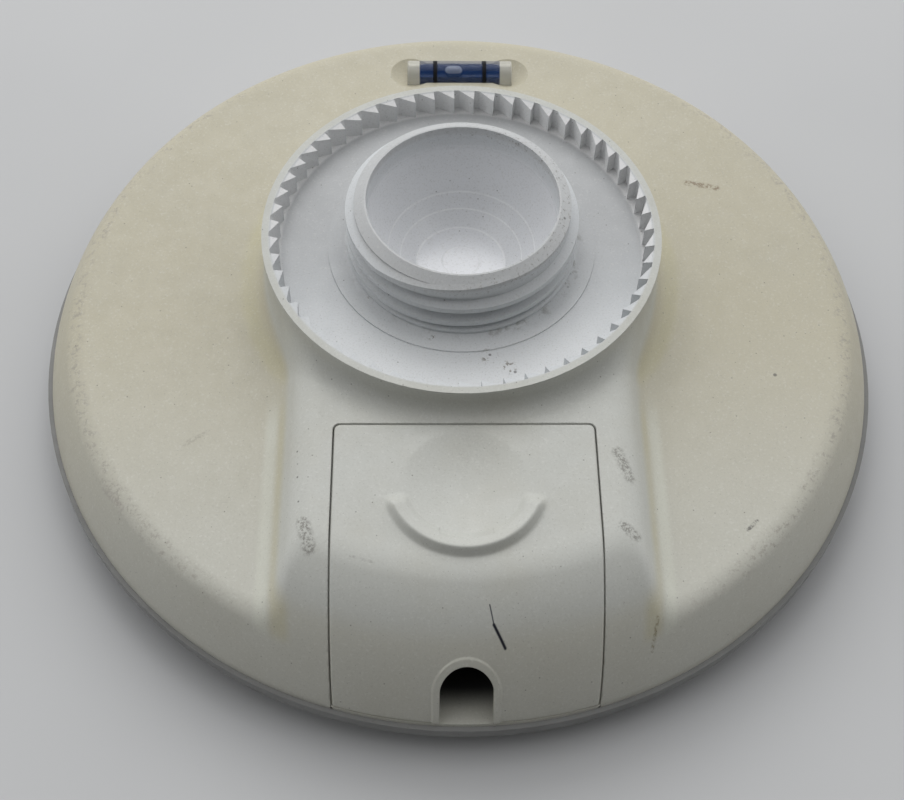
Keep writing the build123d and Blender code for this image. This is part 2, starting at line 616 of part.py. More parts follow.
def level_pieces():
    """Vial with closed ends, its fluid, the bubble in its channel and the two line rings."""
    half = VIAL_LENGTH / 2
    bore = VIAL_BORE_LENGTH / 2
    cavity = along_x(LEVEL_X - bore, LEVEL_X + bore, LEVEL_Y, VIAL_Z, VIAL_BORE_RADIUS)
    vial = along_x(LEVEL_X - half, LEVEL_X + half, LEVEL_Y, VIAL_Z, VIAL_RADIUS)
    vial = fillet(vial.edges().filter_by(GeomType.CIRCLE), VIAL_ROUND) - cavity
    channel_z = VIAL_Z + VIAL_BORE_RADIUS - BUBBLE_FILM - BUBBLE_RADIUS - BUBBLE_GAP
    channel = along_x(LEVEL_X - bore, LEVEL_X + bore, LEVEL_Y, channel_z, BUBBLE_RADIUS + BUBBLE_GAP)
    middle = LEVEL_X + BUBBLE_OFFSET
    straight = BUBBLE_LENGTH / 2 - BUBBLE_RADIUS
    bubble = along_x(middle - straight, middle + straight, LEVEL_Y, channel_z, BUBBLE_RADIUS)
    for side in (-1, 1):
        bubble += Pos(middle + side * straight, LEVEL_Y, channel_z) * Sphere(BUBBLE_RADIUS)
    marks = []
    for side in (-1, 1):
        x = LEVEL_X + side * MARK_SPACING / 2
        ring = along_x(x - MARK_WIDTH / 2, x + MARK_WIDTH / 2, LEVEL_Y, VIAL_Z, VIAL_RADIUS)
        inside = VIAL_RADIUS - MARK_HEIGHT
        marks.append(ring - along_x(x - MARK_WIDTH, x + MARK_WIDTH, LEVEL_Y, VIAL_Z, inside))
    line_rings = Compound(children=marks)
    for ring in marks:
        vial -= ring
    return vial, cavity - channel, bubble, line_rings


def reflector():
    """Metal tray behind the patch board, its rim turned towards the front."""
    tray = rod(0, 0, REFLECTOR_Z - REFLECTOR_FLANGE, REFLECTOR_TOP_Z, REFLECTOR_RADIUS)
    tray -= rod(0, 0, REFLECTOR_Z - REFLECTOR_FLANGE, REFLECTOR_Z, REFLECTOR_RADIUS - REFLECTOR_WALL)
    for x, y in reflector_places():
        tray -= rod(x, y, REFLECTOR_Z, REFLECTOR_TOP_Z, SCREW_RADIUS + SCREW_FIT)
    for x in feed_places():
        tray -= rod(x, FEED_Y, REFLECTOR_Z, REFLECTOR_TOP_Z, FEED_BUSH_RADIUS + FEED_FIT)
    return tray


def feed_places():
    return (-FEED_SPACING / 2, FEED_SPACING / 2)


def patch_board():
    top = PATCH_BOARD_Z + PATCH_BOARD_THICKNESS
    board = rod(0, 0, PATCH_BOARD_Z, top, PATCH_BOARD_RADIUS)
    for x in feed_places():
        board -= rod(x, FEED_Y, PATCH_BOARD_Z, top, FEED_PIN_RADIUS + FEED_FIT)
    return board


def antenna_patches():
    """Square copper patches on the front of their board, without the four corners."""
    first = -PATCH_PITCH * (PATCH_ROWS - 1) / 2
    places = [first + i * PATCH_PITCH for i in range(PATCH_ROWS)]
    ends = (places[0], places[-1])
    patches = []
    for x in places:
        for y in places:
            if x not in ends or y not in ends:
                half = PATCH_SIZE / 2
                patches.append(block(x - half, x + half, y - half, y + half,
                                     PATCH_BOARD_Z - PATCH_THICKNESS, PATCH_BOARD_Z))
    return Compound(children=patches)


def patch_spacers():
    low = PATCH_BOARD_Z + PATCH_BOARD_THICKNESS
    places = [polar(SPACER_RING, i * 360 / SPACER_COUNT) for i in range(SPACER_COUNT)]
    return Compound(children=[rod(x, y, low, REFLECTOR_Z, SPACER_RADIUS) for x, y in places])


def feed_pins():
    pins = [rod(x, FEED_Y, PATCH_BOARD_Z, BOARD_TOP_Z, FEED_PIN_RADIUS) for x in feed_places()]
    return Compound(children=pins)


def feed_bushes():
    low = PATCH_BOARD_Z + PATCH_BOARD_THICKNESS
    bushes = []
    for x in feed_places():
        sleeve = rod(x, FEED_Y, low, BOARD_Z, FEED_BUSH_RADIUS)
        bushes.append(sleeve - rod(x, FEED_Y, low, BOARD_Z, FEED_PIN_RADIUS + FEED_FIT))
    return Compound(children=bushes)


def main_board():
    half = BOARD_WIDTH / 2
    board = block(-half, half, BOARD_END_Y, BOARD_END_Y + BOARD_LENGTH, BOARD_Z, BOARD_TOP_Z)
    board = fillet(board.edges().filter_by(Axis.Z), BOARD_CORNER)
    for x, y in board_places():
        board -= rod(x, y, BOARD_Z, BOARD_TOP_Z, SCREW_RADIUS + SCREW_FIT)
    for x in feed_places():
        board -= rod(x, FEED_Y, BOARD_Z, BOARD_TOP_Z, FEED_PIN_RADIUS + FEED_FIT)
    return board


def ethernet_jack():
    """Shielded jack facing the cable exit, with its stepped opening."""
    half = JACK_WIDTH / 2
    top = BOARD_TOP_Z + JACK_HEIGHT
    body = block(-half, half, JACK_FACE_Y, JACK_FACE_Y + JACK_DEPTH, BOARD_TOP_Z, top)
    low = BOARD_TOP_Z + (JACK_HEIGHT - JACK_OPENING_HEIGHT) / 2 + JACK_WALL
    side = JACK_OPENING_WIDTH / 2
    back = JACK_FACE_Y + JACK_OPENING_DEPTH
    body -= block(-side, side, JACK_FACE_Y, back, low, low + JACK_OPENING_HEIGHT)
    latch = side / 2
    body -= block(-latch, latch, JACK_FACE_Y, JACK_FACE_Y + JACK_OPENING_DEPTH / 2,
                  BOARD_TOP_Z + JACK_WALL, low)
    return body


def jack_contacts():
    """Spring contacts along the roof of the jack's opening."""
    top = BOARD_TOP_Z + (JACK_HEIGHT + JACK_OPENING_HEIGHT) / 2 + JACK_WALL
    first = -CONTACT_PITCH * (CONTACT_COUNT - 1) / 2
    back = JACK_FACE_Y + JACK_OPENING_DEPTH
    wires = []
    for i in range(CONTACT_COUNT):
        x = first + i * CONTACT_PITCH
        with BuildSketch(Plane.YZ.offset(x - CONTACT_WIDTH / 2)) as side:
            with BuildLine():
                Polyline((back, top), (back, top - CONTACT_DROP), (back - CONTACT_HEEL, top - CONTACT_DROP),
                         (back - CONTACT_LENGTH, top), close=True)
            make_face()
        wires.append(extrude(side.sketch, CONTACT_WIDTH))
    return Compound(children=wires)


def shield(x, size):
    """Tinned can over a part of the board, open at the board."""
    half = size / 2
    top = BOARD_TOP_Z + SHIELD_HEIGHT
    can = block(x - half, x + half, CHIP_Y - half, CHIP_Y + half, BOARD_TOP_Z, top)
    can = fillet(can.edges().filter_by(Axis.Z), SHIELD_CORNER)
    inside = half - SHIELD_WALL
    return can - block(x - inside, x + inside, CHIP_Y - inside, CHIP_Y + inside,
                       BOARD_TOP_Z, top - SHIELD_WALL)


def chip(x):
    half = CHIP_SIZE / 2
    return block(x - half, x + half, CHIP_Y - half, CHIP_Y + half, BOARD_TOP_Z, BOARD_TOP_Z + CHIP_HEIGHT)


def thermal_pads():
    half = PAD_SIZE / 2
    low = BOARD_TOP_Z + CHIP_HEIGHT
    high = BOARD_TOP_Z + SHIELD_HEIGHT - SHIELD_WALL
    return Compound(children=[block(x - half, x + half, CHIP_Y - half, CHIP_Y + half, low, high)
                              for x in (RADIO_X, CPU_X)])


def magnetics():
    half = MAGNETICS_WIDTH / 2
    front = JACK_FACE_Y + JACK_DEPTH + MAGNETICS_GAP
    return block(-half, half, front, front + MAGNETICS_DEPTH, BOARD_TOP_Z, BOARD_TOP_Z + MAGNETICS_HEIGHT)


def capacitors():
    cans = []
    for i in range(CAPACITOR_COUNT):
        x = CAPACITOR_X + i * CAPACITOR_SPACING
        cans.append(rod(x, POWER_Y, BOARD_TOP_Z, BOARD_TOP_Z + CAPACITOR_HEIGHT, CAPACITOR_RADIUS))
    return Compound(children=cans)


def inductor():
    half = INDUCTOR_SIZE / 2
    coil = block(INDUCTOR_X - half, INDUCTOR_X + half, POWER_Y - half, POWER_Y + half,
                 BOARD_TOP_Z, BOARD_TOP_Z + INDUCTOR_HEIGHT)
    return chamfer(coil.edges().filter_by(Axis.Z), INDUCTOR_BEVEL)


def reset_button():
    """Round button through the bay's back wall, with a collar behind it."""
    front = BAY_BACK_Y - BUTTON_PROUD
    behind = BAY_BACK_Y + BAY_WALL + BUTTON_GAP
    stem = along_y(BUTTON_X, BUTTON_Z, front, behind + BUTTON_FLANGE, BUTTON_RADIUS)
    flange = along_y(BUTTON_X, BUTTON_Z, behind, behind + BUTTON_FLANGE, BUTTON_RADIUS + BUTTON_FLANGE)
    return stem + flange


def reset_switch():
    front = BAY_BACK_Y + BAY_WALL + BUTTON_GAP + BUTTON_FLANGE + BUTTON_TRAVEL + BUTTON_GAP
    half = SWITCH_SIZE / 2
    return block(BUTTON_X - half, BUTTON_X + half, front, front + SWITCH_DEPTH,
                 BOARD_TOP_Z, BOARD_TOP_Z + SWITCH_SIZE)


def status_leds():
    front = BAY_BACK_Y - LED_PROUD
    z = BOARD_TOP_Z + LED_RADIUS
    lights = []
    for x in led_places():
        body = along_y(x, z, front, front + LED_LENGTH, LED_RADIUS)
        lights.append(fillet(body.edges().sort_by(Axis.Y)[0], LED_RADIUS * 0.6))
    return Compound(children=lights)


def screws(places, seat):
    return Compound(children=[screw(x, y, seat) for x, y in places])


def build():
    os.makedirs(OUT, exist_ok=True)
    vial, fluid, bubble, marks = level_pieces()
    pieces = {
        "rear_housing": rear_housing(),
        "front_radome": front_radome(),
        "rim_seal": rim_seal(),
        "port_cover": port_cover(),
        "level_vial": vial,
        "level_fluid": fluid,
        "level_bubble": bubble,
        "level_line_rings": marks,
        "antenna_reflector": reflector(),
        "patch_board": patch_board(),
        "antenna_patches": antenna_patches(),
        "patch_spacers": patch_spacers(),
        "feed_pins": feed_pins(),
        "feed_bushes": feed_bushes(),
        "main_board": main_board(),
        "ethernet_jack": ethernet_jack(),
        "jack_contacts": jack_contacts(),
        "ethernet_magnetics": magnetics(),
        "radio_shield": shield(RADIO_X, RADIO_SHIELD),
        "processor_shield": shield(CPU_X, CPU_SHIELD),
        "radio_chip": chip(RADIO_X),
        "processor_chip": chip(CPU_X),
        "thermal_pads": thermal_pads(),
        "capacitors": capacitors(),
        "power_inductor": inductor(),
        "reset_button": reset_button(),
        "reset_switch": reset_switch(),
        "status_leds": status_leds(),
        "board_screws": screws(board_places(), BOARD_Z),
        "reflector_screws": screws(reflector_places(), REFLECTOR_Z),
    }
    for node, shape in pieces.items():
        save(node, shape)


build()
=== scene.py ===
"""Looks for the round outdoor radio: its moulded skin, materials, table, light and camera."""
import math

import bmesh
import bpy
import numpy as np
from mathutils import Matrix, Vector


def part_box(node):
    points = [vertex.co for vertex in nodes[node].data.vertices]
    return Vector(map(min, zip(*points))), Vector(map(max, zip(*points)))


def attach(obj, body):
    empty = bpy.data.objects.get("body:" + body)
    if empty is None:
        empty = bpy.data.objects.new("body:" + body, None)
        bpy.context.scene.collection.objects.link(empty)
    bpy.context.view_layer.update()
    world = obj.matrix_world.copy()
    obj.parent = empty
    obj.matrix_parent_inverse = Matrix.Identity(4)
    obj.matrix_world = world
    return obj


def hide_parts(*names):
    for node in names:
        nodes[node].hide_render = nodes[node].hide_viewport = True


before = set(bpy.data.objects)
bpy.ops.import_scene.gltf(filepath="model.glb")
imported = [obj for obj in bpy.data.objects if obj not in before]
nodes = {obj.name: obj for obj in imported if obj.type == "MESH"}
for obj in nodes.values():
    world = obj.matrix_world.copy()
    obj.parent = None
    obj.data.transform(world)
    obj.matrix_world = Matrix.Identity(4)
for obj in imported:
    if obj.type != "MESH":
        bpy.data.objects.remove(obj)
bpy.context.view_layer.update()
MM = 0.001

# ---- sizes that the moulded skin shares with the solids, in millimetres -----------------------
SEAM_RADIUS = 93.5
SEAM_Z = 10.4
FLANK_RADIUS = 33.7
FLANK_LEAN = math.radians(11.5)
PLATEAU_Z = 25.1
TONGUE_Z = 35.5
TONGUE_HALF_TOP = 33.9
TONGUE_HALF_FOOT = 39.9
RING_Y = 9.0
RING_RADIUS = 43.8
RING_TOP_Z = 41.65
COVER_HALF = 27.0
COVER_TOP_Y = -38.0
COVER_CORNER = 1.4
COVER_GAP = 0.3
SILL_Z = 11.2
THUMB_Y = -52.1
NOTCH_HALF = 5.3
NOTCH_TOP_Z = 24.6
NOTCH_BORDER = 1.6               # width of the raised border round the arch
LEVEL_X = 0.7
LEVEL_Y = 74.2
LEVEL_WINDOW = (19.0, 5.6)       # half sizes of the plain window round the level's recess
LEVEL_DEEPEST_Z = 15.0
HOLLOW_RADIUS = 12.6             # thumb hollow in the cover
HOLLOW_DEPTH = 1.6
CRESCENT_HEIGHT = 1.25
TONGUE_EDGE_WIDTH = 3.6          # how wide the moulded roundings and coves are
TONGUE_COVE_WIDTH = 4.2
FLAT_EDGE_WIDTH = 2.2
TONGUE_END_WIDTH = 1.0
RING_EDGE_RADIUS = 0.35
RING_COVE_RADIUS = (3.2, 6.0)    # over the tongue and over the flat
CAST_Z = -50.0                   # height that the rays on to the shape start from
COVER_FOOT_Z = SILL_Z + 0.1
SKIN_WALL = 2.3                  # how deep the skins turn in at their open edges
COVER_WALL = 1.9
FLAT_TOLERANCE = 0.05

# ---- sizes that the looks use, in millimetres -------------------------------------------------
MOUNT_RADIUS = 42.2              # middle of the ratchet ring's wall
TOOTH_ROOT_RADIUS = 40.1
BOWL_RADIUS = 20.65
BOWL_BOTTOM_RADIUS = 10.0
THREAD_RADIUS = 25.3
TURNED_LINES = ((16.2, 0.22), (13.5, 0.22), (9.9, 0.30), (4.2, 0.22))
RIM_WEAR_RADIUS = 86.0


# ---- shape of the rear, as a distance that is negative inside, with moulded-in roundings ------
def both(a, b, radius):
    """Where two solids overlap, with their common edge rounded."""
    a, b = a + radius, b + radius
    corner = np.hypot(np.maximum(a, 0), np.maximum(b, 0))
    return corner + np.minimum(np.maximum(a, b), 0) - radius


def either(a, b, radius):
    """Two solids together, with a cove where they meet."""
    return -both(-a, -b, radius)


def soft_both(a, b, width):
    """Where two solids overlap, rounded where their distances differ by less than a width."""
    near = np.maximum(width - np.abs(a - b), 0) / width
    return np.maximum(a, b) + near * near * width / 4


def soft_either(a, b, width):
    return -soft_both(-a, -b, width)


def ease(value, low, high):
    t = np.clip((value - low) / (high - low), 0, 1)
    return t * t * (3 - 2 * t)


def rear_shape(x, y, z):
    """Distance outside the rear surface: flank, flat, tongue and the ring's outer wall."""
    centre_r = SEAM_RADIUS - FLANK_RADIUS * math.cos(FLANK_LEAN)
    centre_z = SEAM_Z - FLANK_RADIUS * math.sin(FLANK_LEAN)
    over = np.maximum(np.hypot(x, y) - centre_r, 0)
    flank = np.hypot(over, z - centre_z) - FLANK_RADIUS
    run = TONGUE_HALF_FOOT - TONGUE_HALF_TOP
    rise = TONGUE_Z - PLATEAU_Z
    length = math.hypot(run, rise)
    side = ((np.abs(x) - TONGUE_HALF_FOOT) * rise + (z - PLATEAU_Z) * run) / length
    tongue = soft_both(side, z - TONGUE_Z, TONGUE_EDGE_WIDTH)
    tongue = np.maximum(tongue, y - RING_Y)
    top = soft_either(z - PLATEAU_Z, tongue, TONGUE_COVE_WIDTH)
    narrower = (FLAT_EDGE_WIDTH - TONGUE_END_WIDTH) * ease(z, 27, 35)
    body = soft_both(top, flank, FLAT_EDGE_WIDTH - narrower)
    ring = both(np.hypot(x, y - RING_Y) - RING_RADIUS, z - RING_TOP_Z, RING_EDGE_RADIUS)
    small, large = RING_COVE_RADIUS
    return either(body, ring, small + (large - small) * ease(np.abs(x), 22, 44))


def thumb_grip(x, y):
    """Height of the thumb hollow and of the crescent below it, over the cover's face."""
    away = np.hypot(x, y - THUMB_Y)
    turn = np.degrees(np.arctan2(x, THUMB_Y - y))
    hollow = -HOLLOW_DEPTH * (1 - np.clip(away / HOLLOW_RADIUS, 0, 1) ** 2) ** 1.25
    across = ease(away, 11.6, 13.3) * (1 - ease(away, 15.4, 17.0))
    along = 1 - ease(np.abs(turn), 66, 80)
    slope = 0.9 + 0.6 * ease(away, HOLLOW_RADIUS, HOLLOW_RADIUS + 3)
    return hollow + CRESCENT_HEIGHT * slope * across * along


def notch_distance(x, z):
    """Distance from the arch of the cable exit, positive outside it."""
    spring = NOTCH_TOP_Z - NOTCH_HALF
    return np.where(z > spring, np.hypot(x, z - spring), np.abs(x)) - NOTCH_HALF


def edge_drop(distance, radius):
    """How far a rounded edge falls, at a distance inside the edge."""
    inside = np.clip(radius - distance, 0, radius)
    return radius - np.sqrt(np.maximum(radius ** 2 - inside ** 2, 0))


def cover_distance(x, y, gap):
    """Distance inside the cover's outline, less a gap: positive inside it."""
    half = COVER_HALF - gap
    top = COVER_TOP_Y - gap
    a = np.abs(x) - half + COVER_CORNER
    b = y - top + COVER_CORNER
    corner = np.hypot(np.maximum(a, 0), np.maximum(b, 0))
    return COVER_CORNER - corner - np.minimum(np.maximum(a, b), 0)


def cover_shape(x, y, z):
    """Distance outside the port cover's face, with its grip, edges and the arch's border."""
    face = rear_shape(x, y, z)
    grip = np.where(z > 30, thumb_grip(x, y), 0)
    rim = edge_drop(np.maximum(cover_distance(x, y, COVER_GAP), 0), 0.4)
    arch = notch_distance(x, z)
    raised = 0.25 * (1 - ease(arch, NOTCH_BORDER - 0.25, NOTCH_BORDER))
    border = edge_drop(np.maximum(arch, 0), 0.15) - raised
    low = edge_drop(np.maximum(z - COVER_FOOT_Z, 0), 0.2)
    return face - grip + rim + np.where(z < 30, border, 0) + low


# ---- casting rays from below on to that shape -------------------------------------------------
def cast(shape, origin, towards):
    """Points where rays from an inner origin through given points leave the shape."""
    ray = towards - origin
    low = np.full(ray.shape[:-1], 0.45)
    high = np.full(ray.shape[:-1], 1.7)
    for _ in range(34):
        middle = (low + high) / 2
        p = origin + ray * middle[..., None]
        outside = shape(p[..., 0], p[..., 1], p[..., 2]) > 0
        high = np.where(outside, middle, high)
        low = np.where(outside, low, middle)
    return origin + ray * ((low + high) / 2)[..., None]


def sheet_mesh(name, points, closed):
    """A smooth mesh over a grid of points in millimetres, which closes on itself if asked."""
    rows, columns = points.shape[:2]
    index = np.arange(rows * columns).reshape(rows, columns)
    after = np.roll(index, -1, axis=1)
    used = slice(None) if closed else slice(None, -1)
    corners = [index[:-1, used], index[1:, used], after[1:, used], after[:-1, used]]
    quads = np.stack(corners, axis=-1)
    mesh = bpy.data.meshes.new(name)
    mesh.from_pydata((points.reshape(-1, 3) * MM).tolist(), [], quads.reshape(-1, 4).tolist())
    mesh.shade_smooth()
    return mesh


def rear_skin(around=1260, down=250):
    """Outer surface of the housing, from the ring's top edge to the seam."""
    turn = np.linspace(0, 2 * math.pi, around, endpoint=False)
    ray = np.stack([np.cos(turn), np.sin(turn)], axis=-1)
    rim = ray * (RING_RADIUS - 0.4) + (0, RING_Y)
    start = np.column_stack([rim, np.full(around, RING_TOP_Z)])
    # the seam circle's point in the same direction from the ring's axis
    b = RING_Y * ray[:, 1]
    reach = -b + np.sqrt(b ** 2 + SEAM_RADIUS ** 2 - RING_Y ** 2)
    end = np.column_stack([ray * reach[:, None] + (0, RING_Y), np.full(around, SEAM_Z)])
    share = np.linspace(0, 1, down)[:, None, None]
    chord = start + (end - start) * share
    points = cast(rear_shape, np.array([0, RING_Y, CAST_Z]), chord)
    points[0] = start
    points[-1] = end
    return sheet_mesh("rear_skin", points, True)


def outline_points(gap, steps=7):
    """Corners of the cover's outline, from the left edge over the top to the right edge."""
    half = COVER_HALF - gap
    top = COVER_TOP_Y - gap
    turns = np.linspace(math.pi, math.pi / 2, steps)
    left = [(-half + COVER_CORNER * (1 + math.cos(t)), top - COVER_CORNER * (1 - math.sin(t)))
            for t in turns]
    right = [(-x, y) for x, y in reversed(left)]
    return [(-half, -SEAM_RADIUS)] + left + right + [(half, -SEAM_RADIUS)]


def split_along(bm, a, b, reach, level=None):
    """Cut the faces near the upright plane through two points, or all at a level, along it."""
    a, b = Vector((*a, 0)) * MM, Vector((*b, 0)) * MM
    along = b - a
    normal = Vector((-along.y, along.x, 0)).normalized()
    unit = along.normalized()
    margin = reach * MM

    def near(face):
        centre = face.calc_center_median()
        if level is not None:
            return abs(centre.z - level * MM) < 1e-5
        away = Vector((centre.x, centre.y, 0)) - a
        return abs(away.dot(normal)) < margin and -margin < away.dot(unit) < along.length + margin

    faces = [f for f in bm.faces if near(f)]
    geometry = set(faces)
    for f in faces:
        geometry.update(f.edges)
        geometry.update(f.verts)
    bmesh.ops.bisect_plane(bm, geom=list(geometry), dist=1e-7, plane_co=a, plane_no=normal)


def centres(bm):
    return np.array([f.calc_center_median() for f in bm.faces]) / MM


def drop_faces(bm, doomed):
    faces = [f for f, gone in zip(bm.faces, doomed) if gone]
    bmesh.ops.delete(bm, geom=faces, context="FACES")


def skirt(bm, chosen, depth):
    """Turn the chosen open edges down into the solid, so that the skin has a wall there."""
    bm.normal_update()
    inward = {v: -v.normal.copy() for e in chosen for v in e.verts}
    start = {v: v.co.copy() for v in inward}
    made = bmesh.ops.extrude_edge_only(bm, edges=list(chosen))["geom"]
    fresh = [g for g in made if isinstance(g, bmesh.types.BMVert)]
    found = {tuple(round(c, 8) for c in p): inward[v] for v, p in start.items()}
    for v in fresh:
        v.co += found[tuple(round(c, 8) for c in v.co)] * depth * MM


def level_window(x, y):
    """Whether a place is in the plain window round the spirit level's recess."""
    half_x, half_y = LEVEL_WINDOW
    return (np.abs(x - LEVEL_X) < half_x) & (np.abs(y - LEVEL_Y) < half_y)


def window_edges(bm, level=None):
    """Cut a mesh along the window's four sides."""
    half_x, half_y = LEVEL_WINDOW
    signs = ((-1, -1), (1, -1), (1, 1), (-1, 1))
    corners = [(LEVEL_X + a * half_x, LEVEL_Y + b * half_y) for a, b in signs]
    for a, b in zip(corners, corners[1:] + corners[:1]):
        split_along(bm, a, b, 1.0, level)


def solid_rest(node, keep):
    """A copy of a solid's mesh with only the faces that a test on centre and normal keeps."""
    mesh = nodes[node].data.copy()
    count = len(mesh.polygons)
    centre = np.empty(count * 3)
    normal = np.empty(count * 3)
    mesh.polygons.foreach_get("center", centre)
    mesh.polygons.foreach_get("normal", normal)
    chosen = keep(centre.reshape(-1, 3) / MM, normal.reshape(-1, 3))
    bm = bmesh.new()
    bm.from_mesh(mesh)
    drop_faces(bm, ~chosen)
    bm.to_mesh(mesh)
    bm.free()
    return mesh


def slope_of(shape, p):
    """Direction in which the shape's distance grows, at each point."""
    step = 0.05
    parts = []
    for axis in range(3):
        shift = np.zeros(3)
        shift[axis] = step
        up, down = p + shift, p - shift
        parts.append(shape(*up.T) - shape(*down.T))
    found = np.stack(parts, axis=-1)
    return found / np.maximum(np.linalg.norm(found, axis=-1, keepdims=True), 1e-9)


def housing_inside(p, n):
    """Faces of the housing that the skin doesn't stand for: insides, ring, socket and level."""
    x, y, z = p.T
    away = rear_shape(x, y, z)
    facing = (slope_of(rear_shape, p) * n).sum(axis=-1) > 0.5
    outer = (np.abs(away) < 1.7) & facing
    mount = np.hypot(x, y - RING_Y) < RING_RADIUS - 0.05
    level = level_window(x, y) & (z > LEVEL_DEEPEST_Z)
    flat = (n[:, 2] > 0.99) & (np.abs(z - PLATEAU_Z) < FLAT_TOLERANCE)
    cut = (np.abs(cover_distance(x, y, 0)) < 0.08) & (away > -2.6) & (y < COVER_TOP_Y + 1)
    strip = (np.abs(x) < COVER_HALF + 0.5) & (y < -80) & (z < SILL_Z + 0.01)
    return (mount | level | flat | strip | ~outer) & ~cut


def join(parts, name):
    """One object from several meshes."""
    bm = bmesh.new()
    for mesh in parts:
        bm.from_mesh(mesh)
    mesh = bpy.data.meshes.new(name)
    bm.to_mesh(mesh)
    bm.free()
    piece = bpy.data.objects.new(name, mesh)
    bpy.context.scene.collection.objects.link(piece)
    return piece


def housing_piece():
    """The housing as it is seen: the fine skin, and the solid's faces everywhere else."""
    bm = bmesh.new()
    bm.from_mesh(rear_skin())
    path = outline_points(0)
    for a, b in zip(path, path[1:]):
        split_along(bm, a, b, 0.9)
    window_edges(bm)
    x, y, z = centres(bm).T
    inside = (cover_distance(x, y, 0) > 0) & (y < COVER_TOP_Y)
    window = level_window(x, y) & (z > LEVEL_DEEPEST_Z)
    drop_faces(bm, inside | window)
    low = COVER_TOP_Y * MM + 0.0005

    def at_hole(edge):
        middle = (edge.verts[0].co + edge.verts[1].co) / 2
        return edge.is_boundary and middle.y < low and middle.z > (SEAM_Z + 0.05) * MM \
            and abs(middle.x) < (COVER_HALF + 0.1) * MM

    skirt(bm, [e for e in bm.edges if at_hole(e)], SKIN_WALL)
    skin = bpy.data.meshes.new("housing_skin")
    bm.to_mesh(skin)
    bm.free()
    rest = solid_rest("rear_housing", housing_inside)
    bm = bmesh.new()
    bm.from_mesh(rest)
    window_edges(bm, PLATEAU_Z)
    x, y, z = centres(bm).T
    bm.normal_update()
    up = np.array([f.normal.z for f in bm.faces])
    flat = (up > 0.99) & (np.abs(z - PLATEAU_Z) < FLAT_TOLERANCE)
    drop_faces(bm, flat & ~level_window(x, y))
    bm.to_mesh(rest)
    bm.free()
    piece = join([skin, rest], "rear_housing_skin")
    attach(piece, "radio")
    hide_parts("rear_housing")
    return piece


def flank_y(x, z):
    """How far towards the cable side the flank lies at a place across and a height."""
    centre_r = SEAM_RADIUS - FLANK_RADIUS * math.cos(FLANK_LEAN)
    centre_z = SEAM_Z - FLANK_RADIUS * math.sin(FLANK_LEAN)
    radius = centre_r + np.sqrt(FLANK_RADIUS ** 2 - (z - centre_z) ** 2)
    return -np.sqrt(radius ** 2 - x ** 2)


def cover_skin():
    """Outer face of the port cover, as one grid above the arch and one each side of it."""
    half = COVER_HALF - COVER_GAP
    sides = np.linspace(NOTCH_HALF, half, 95)
    arch = NOTCH_HALF * np.sin(np.linspace(-math.pi / 2, math.pi / 2, 61))
    x = np.concatenate([-sides[:0:-1], arch, sides[1:]])
    corner = np.maximum(np.abs(x) - half + COVER_CORNER, 0)
    rounded = np.sqrt(np.maximum(COVER_CORNER ** 2 - corner ** 2, 0))
    top = COVER_TOP_Y - COVER_GAP - COVER_CORNER + rounded
    spring = NOTCH_TOP_Z - NOTCH_HALF
    level = spring + np.sqrt(np.maximum(NOTCH_HALF ** 2 - x ** 2, 0))
    foot = np.full_like(x, COVER_FOOT_Z)
    start = np.stack([x, top, np.full_like(x, TONGUE_Z)], axis=-1)
    middle = np.stack([x, flank_y(x, level), level], axis=-1)
    end = np.stack([x, flank_y(x, foot), foot], axis=-1)
    origin = np.stack([x, np.full_like(x, RING_Y), np.full_like(x, CAST_Z)], axis=-1)
    share = np.linspace(0, 1, 230)[:, None, None]
    upper = cast(cover_shape, origin, start + (middle - start) * share)
    share = np.linspace(0, 1, 32)[:, None, None]
    lower = cast(cover_shape, origin, middle + (end - middle) * share)
    edge = len(sides)
    grids = [upper, lower[:, :edge], lower[:, -edge:]]
    bm = bmesh.new()
    for grid in grids:
        bm.from_mesh(sheet_mesh("cover_part", grid, False))
    bmesh.ops.remove_doubles(bm, verts=bm.verts, dist=2e-6)
    skirt(bm, [e for e in bm.edges if e.is_boundary], COVER_WALL)
    mesh = bpy.data.meshes.new("cover_skin")
    bm.to_mesh(mesh)
    bm.free()
    mesh.shade_smooth()
    return mesh


def cover_piece():
    """The port cover as it is seen: the fine outer face, and the solid's underside."""
    def underside(p, n):
        away = rear_shape(*p.T)
        inward = (slope_of(rear_shape, p) * n).sum(axis=-1) < -0.5
        return (np.abs(away + 2.0) < 0.5) & inward

    piece = join([cover_skin(), solid_rest("port_cover", underside)], "port_cover_skin")
    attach(piece, "port_cover")
    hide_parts("port_cover")
    return piece


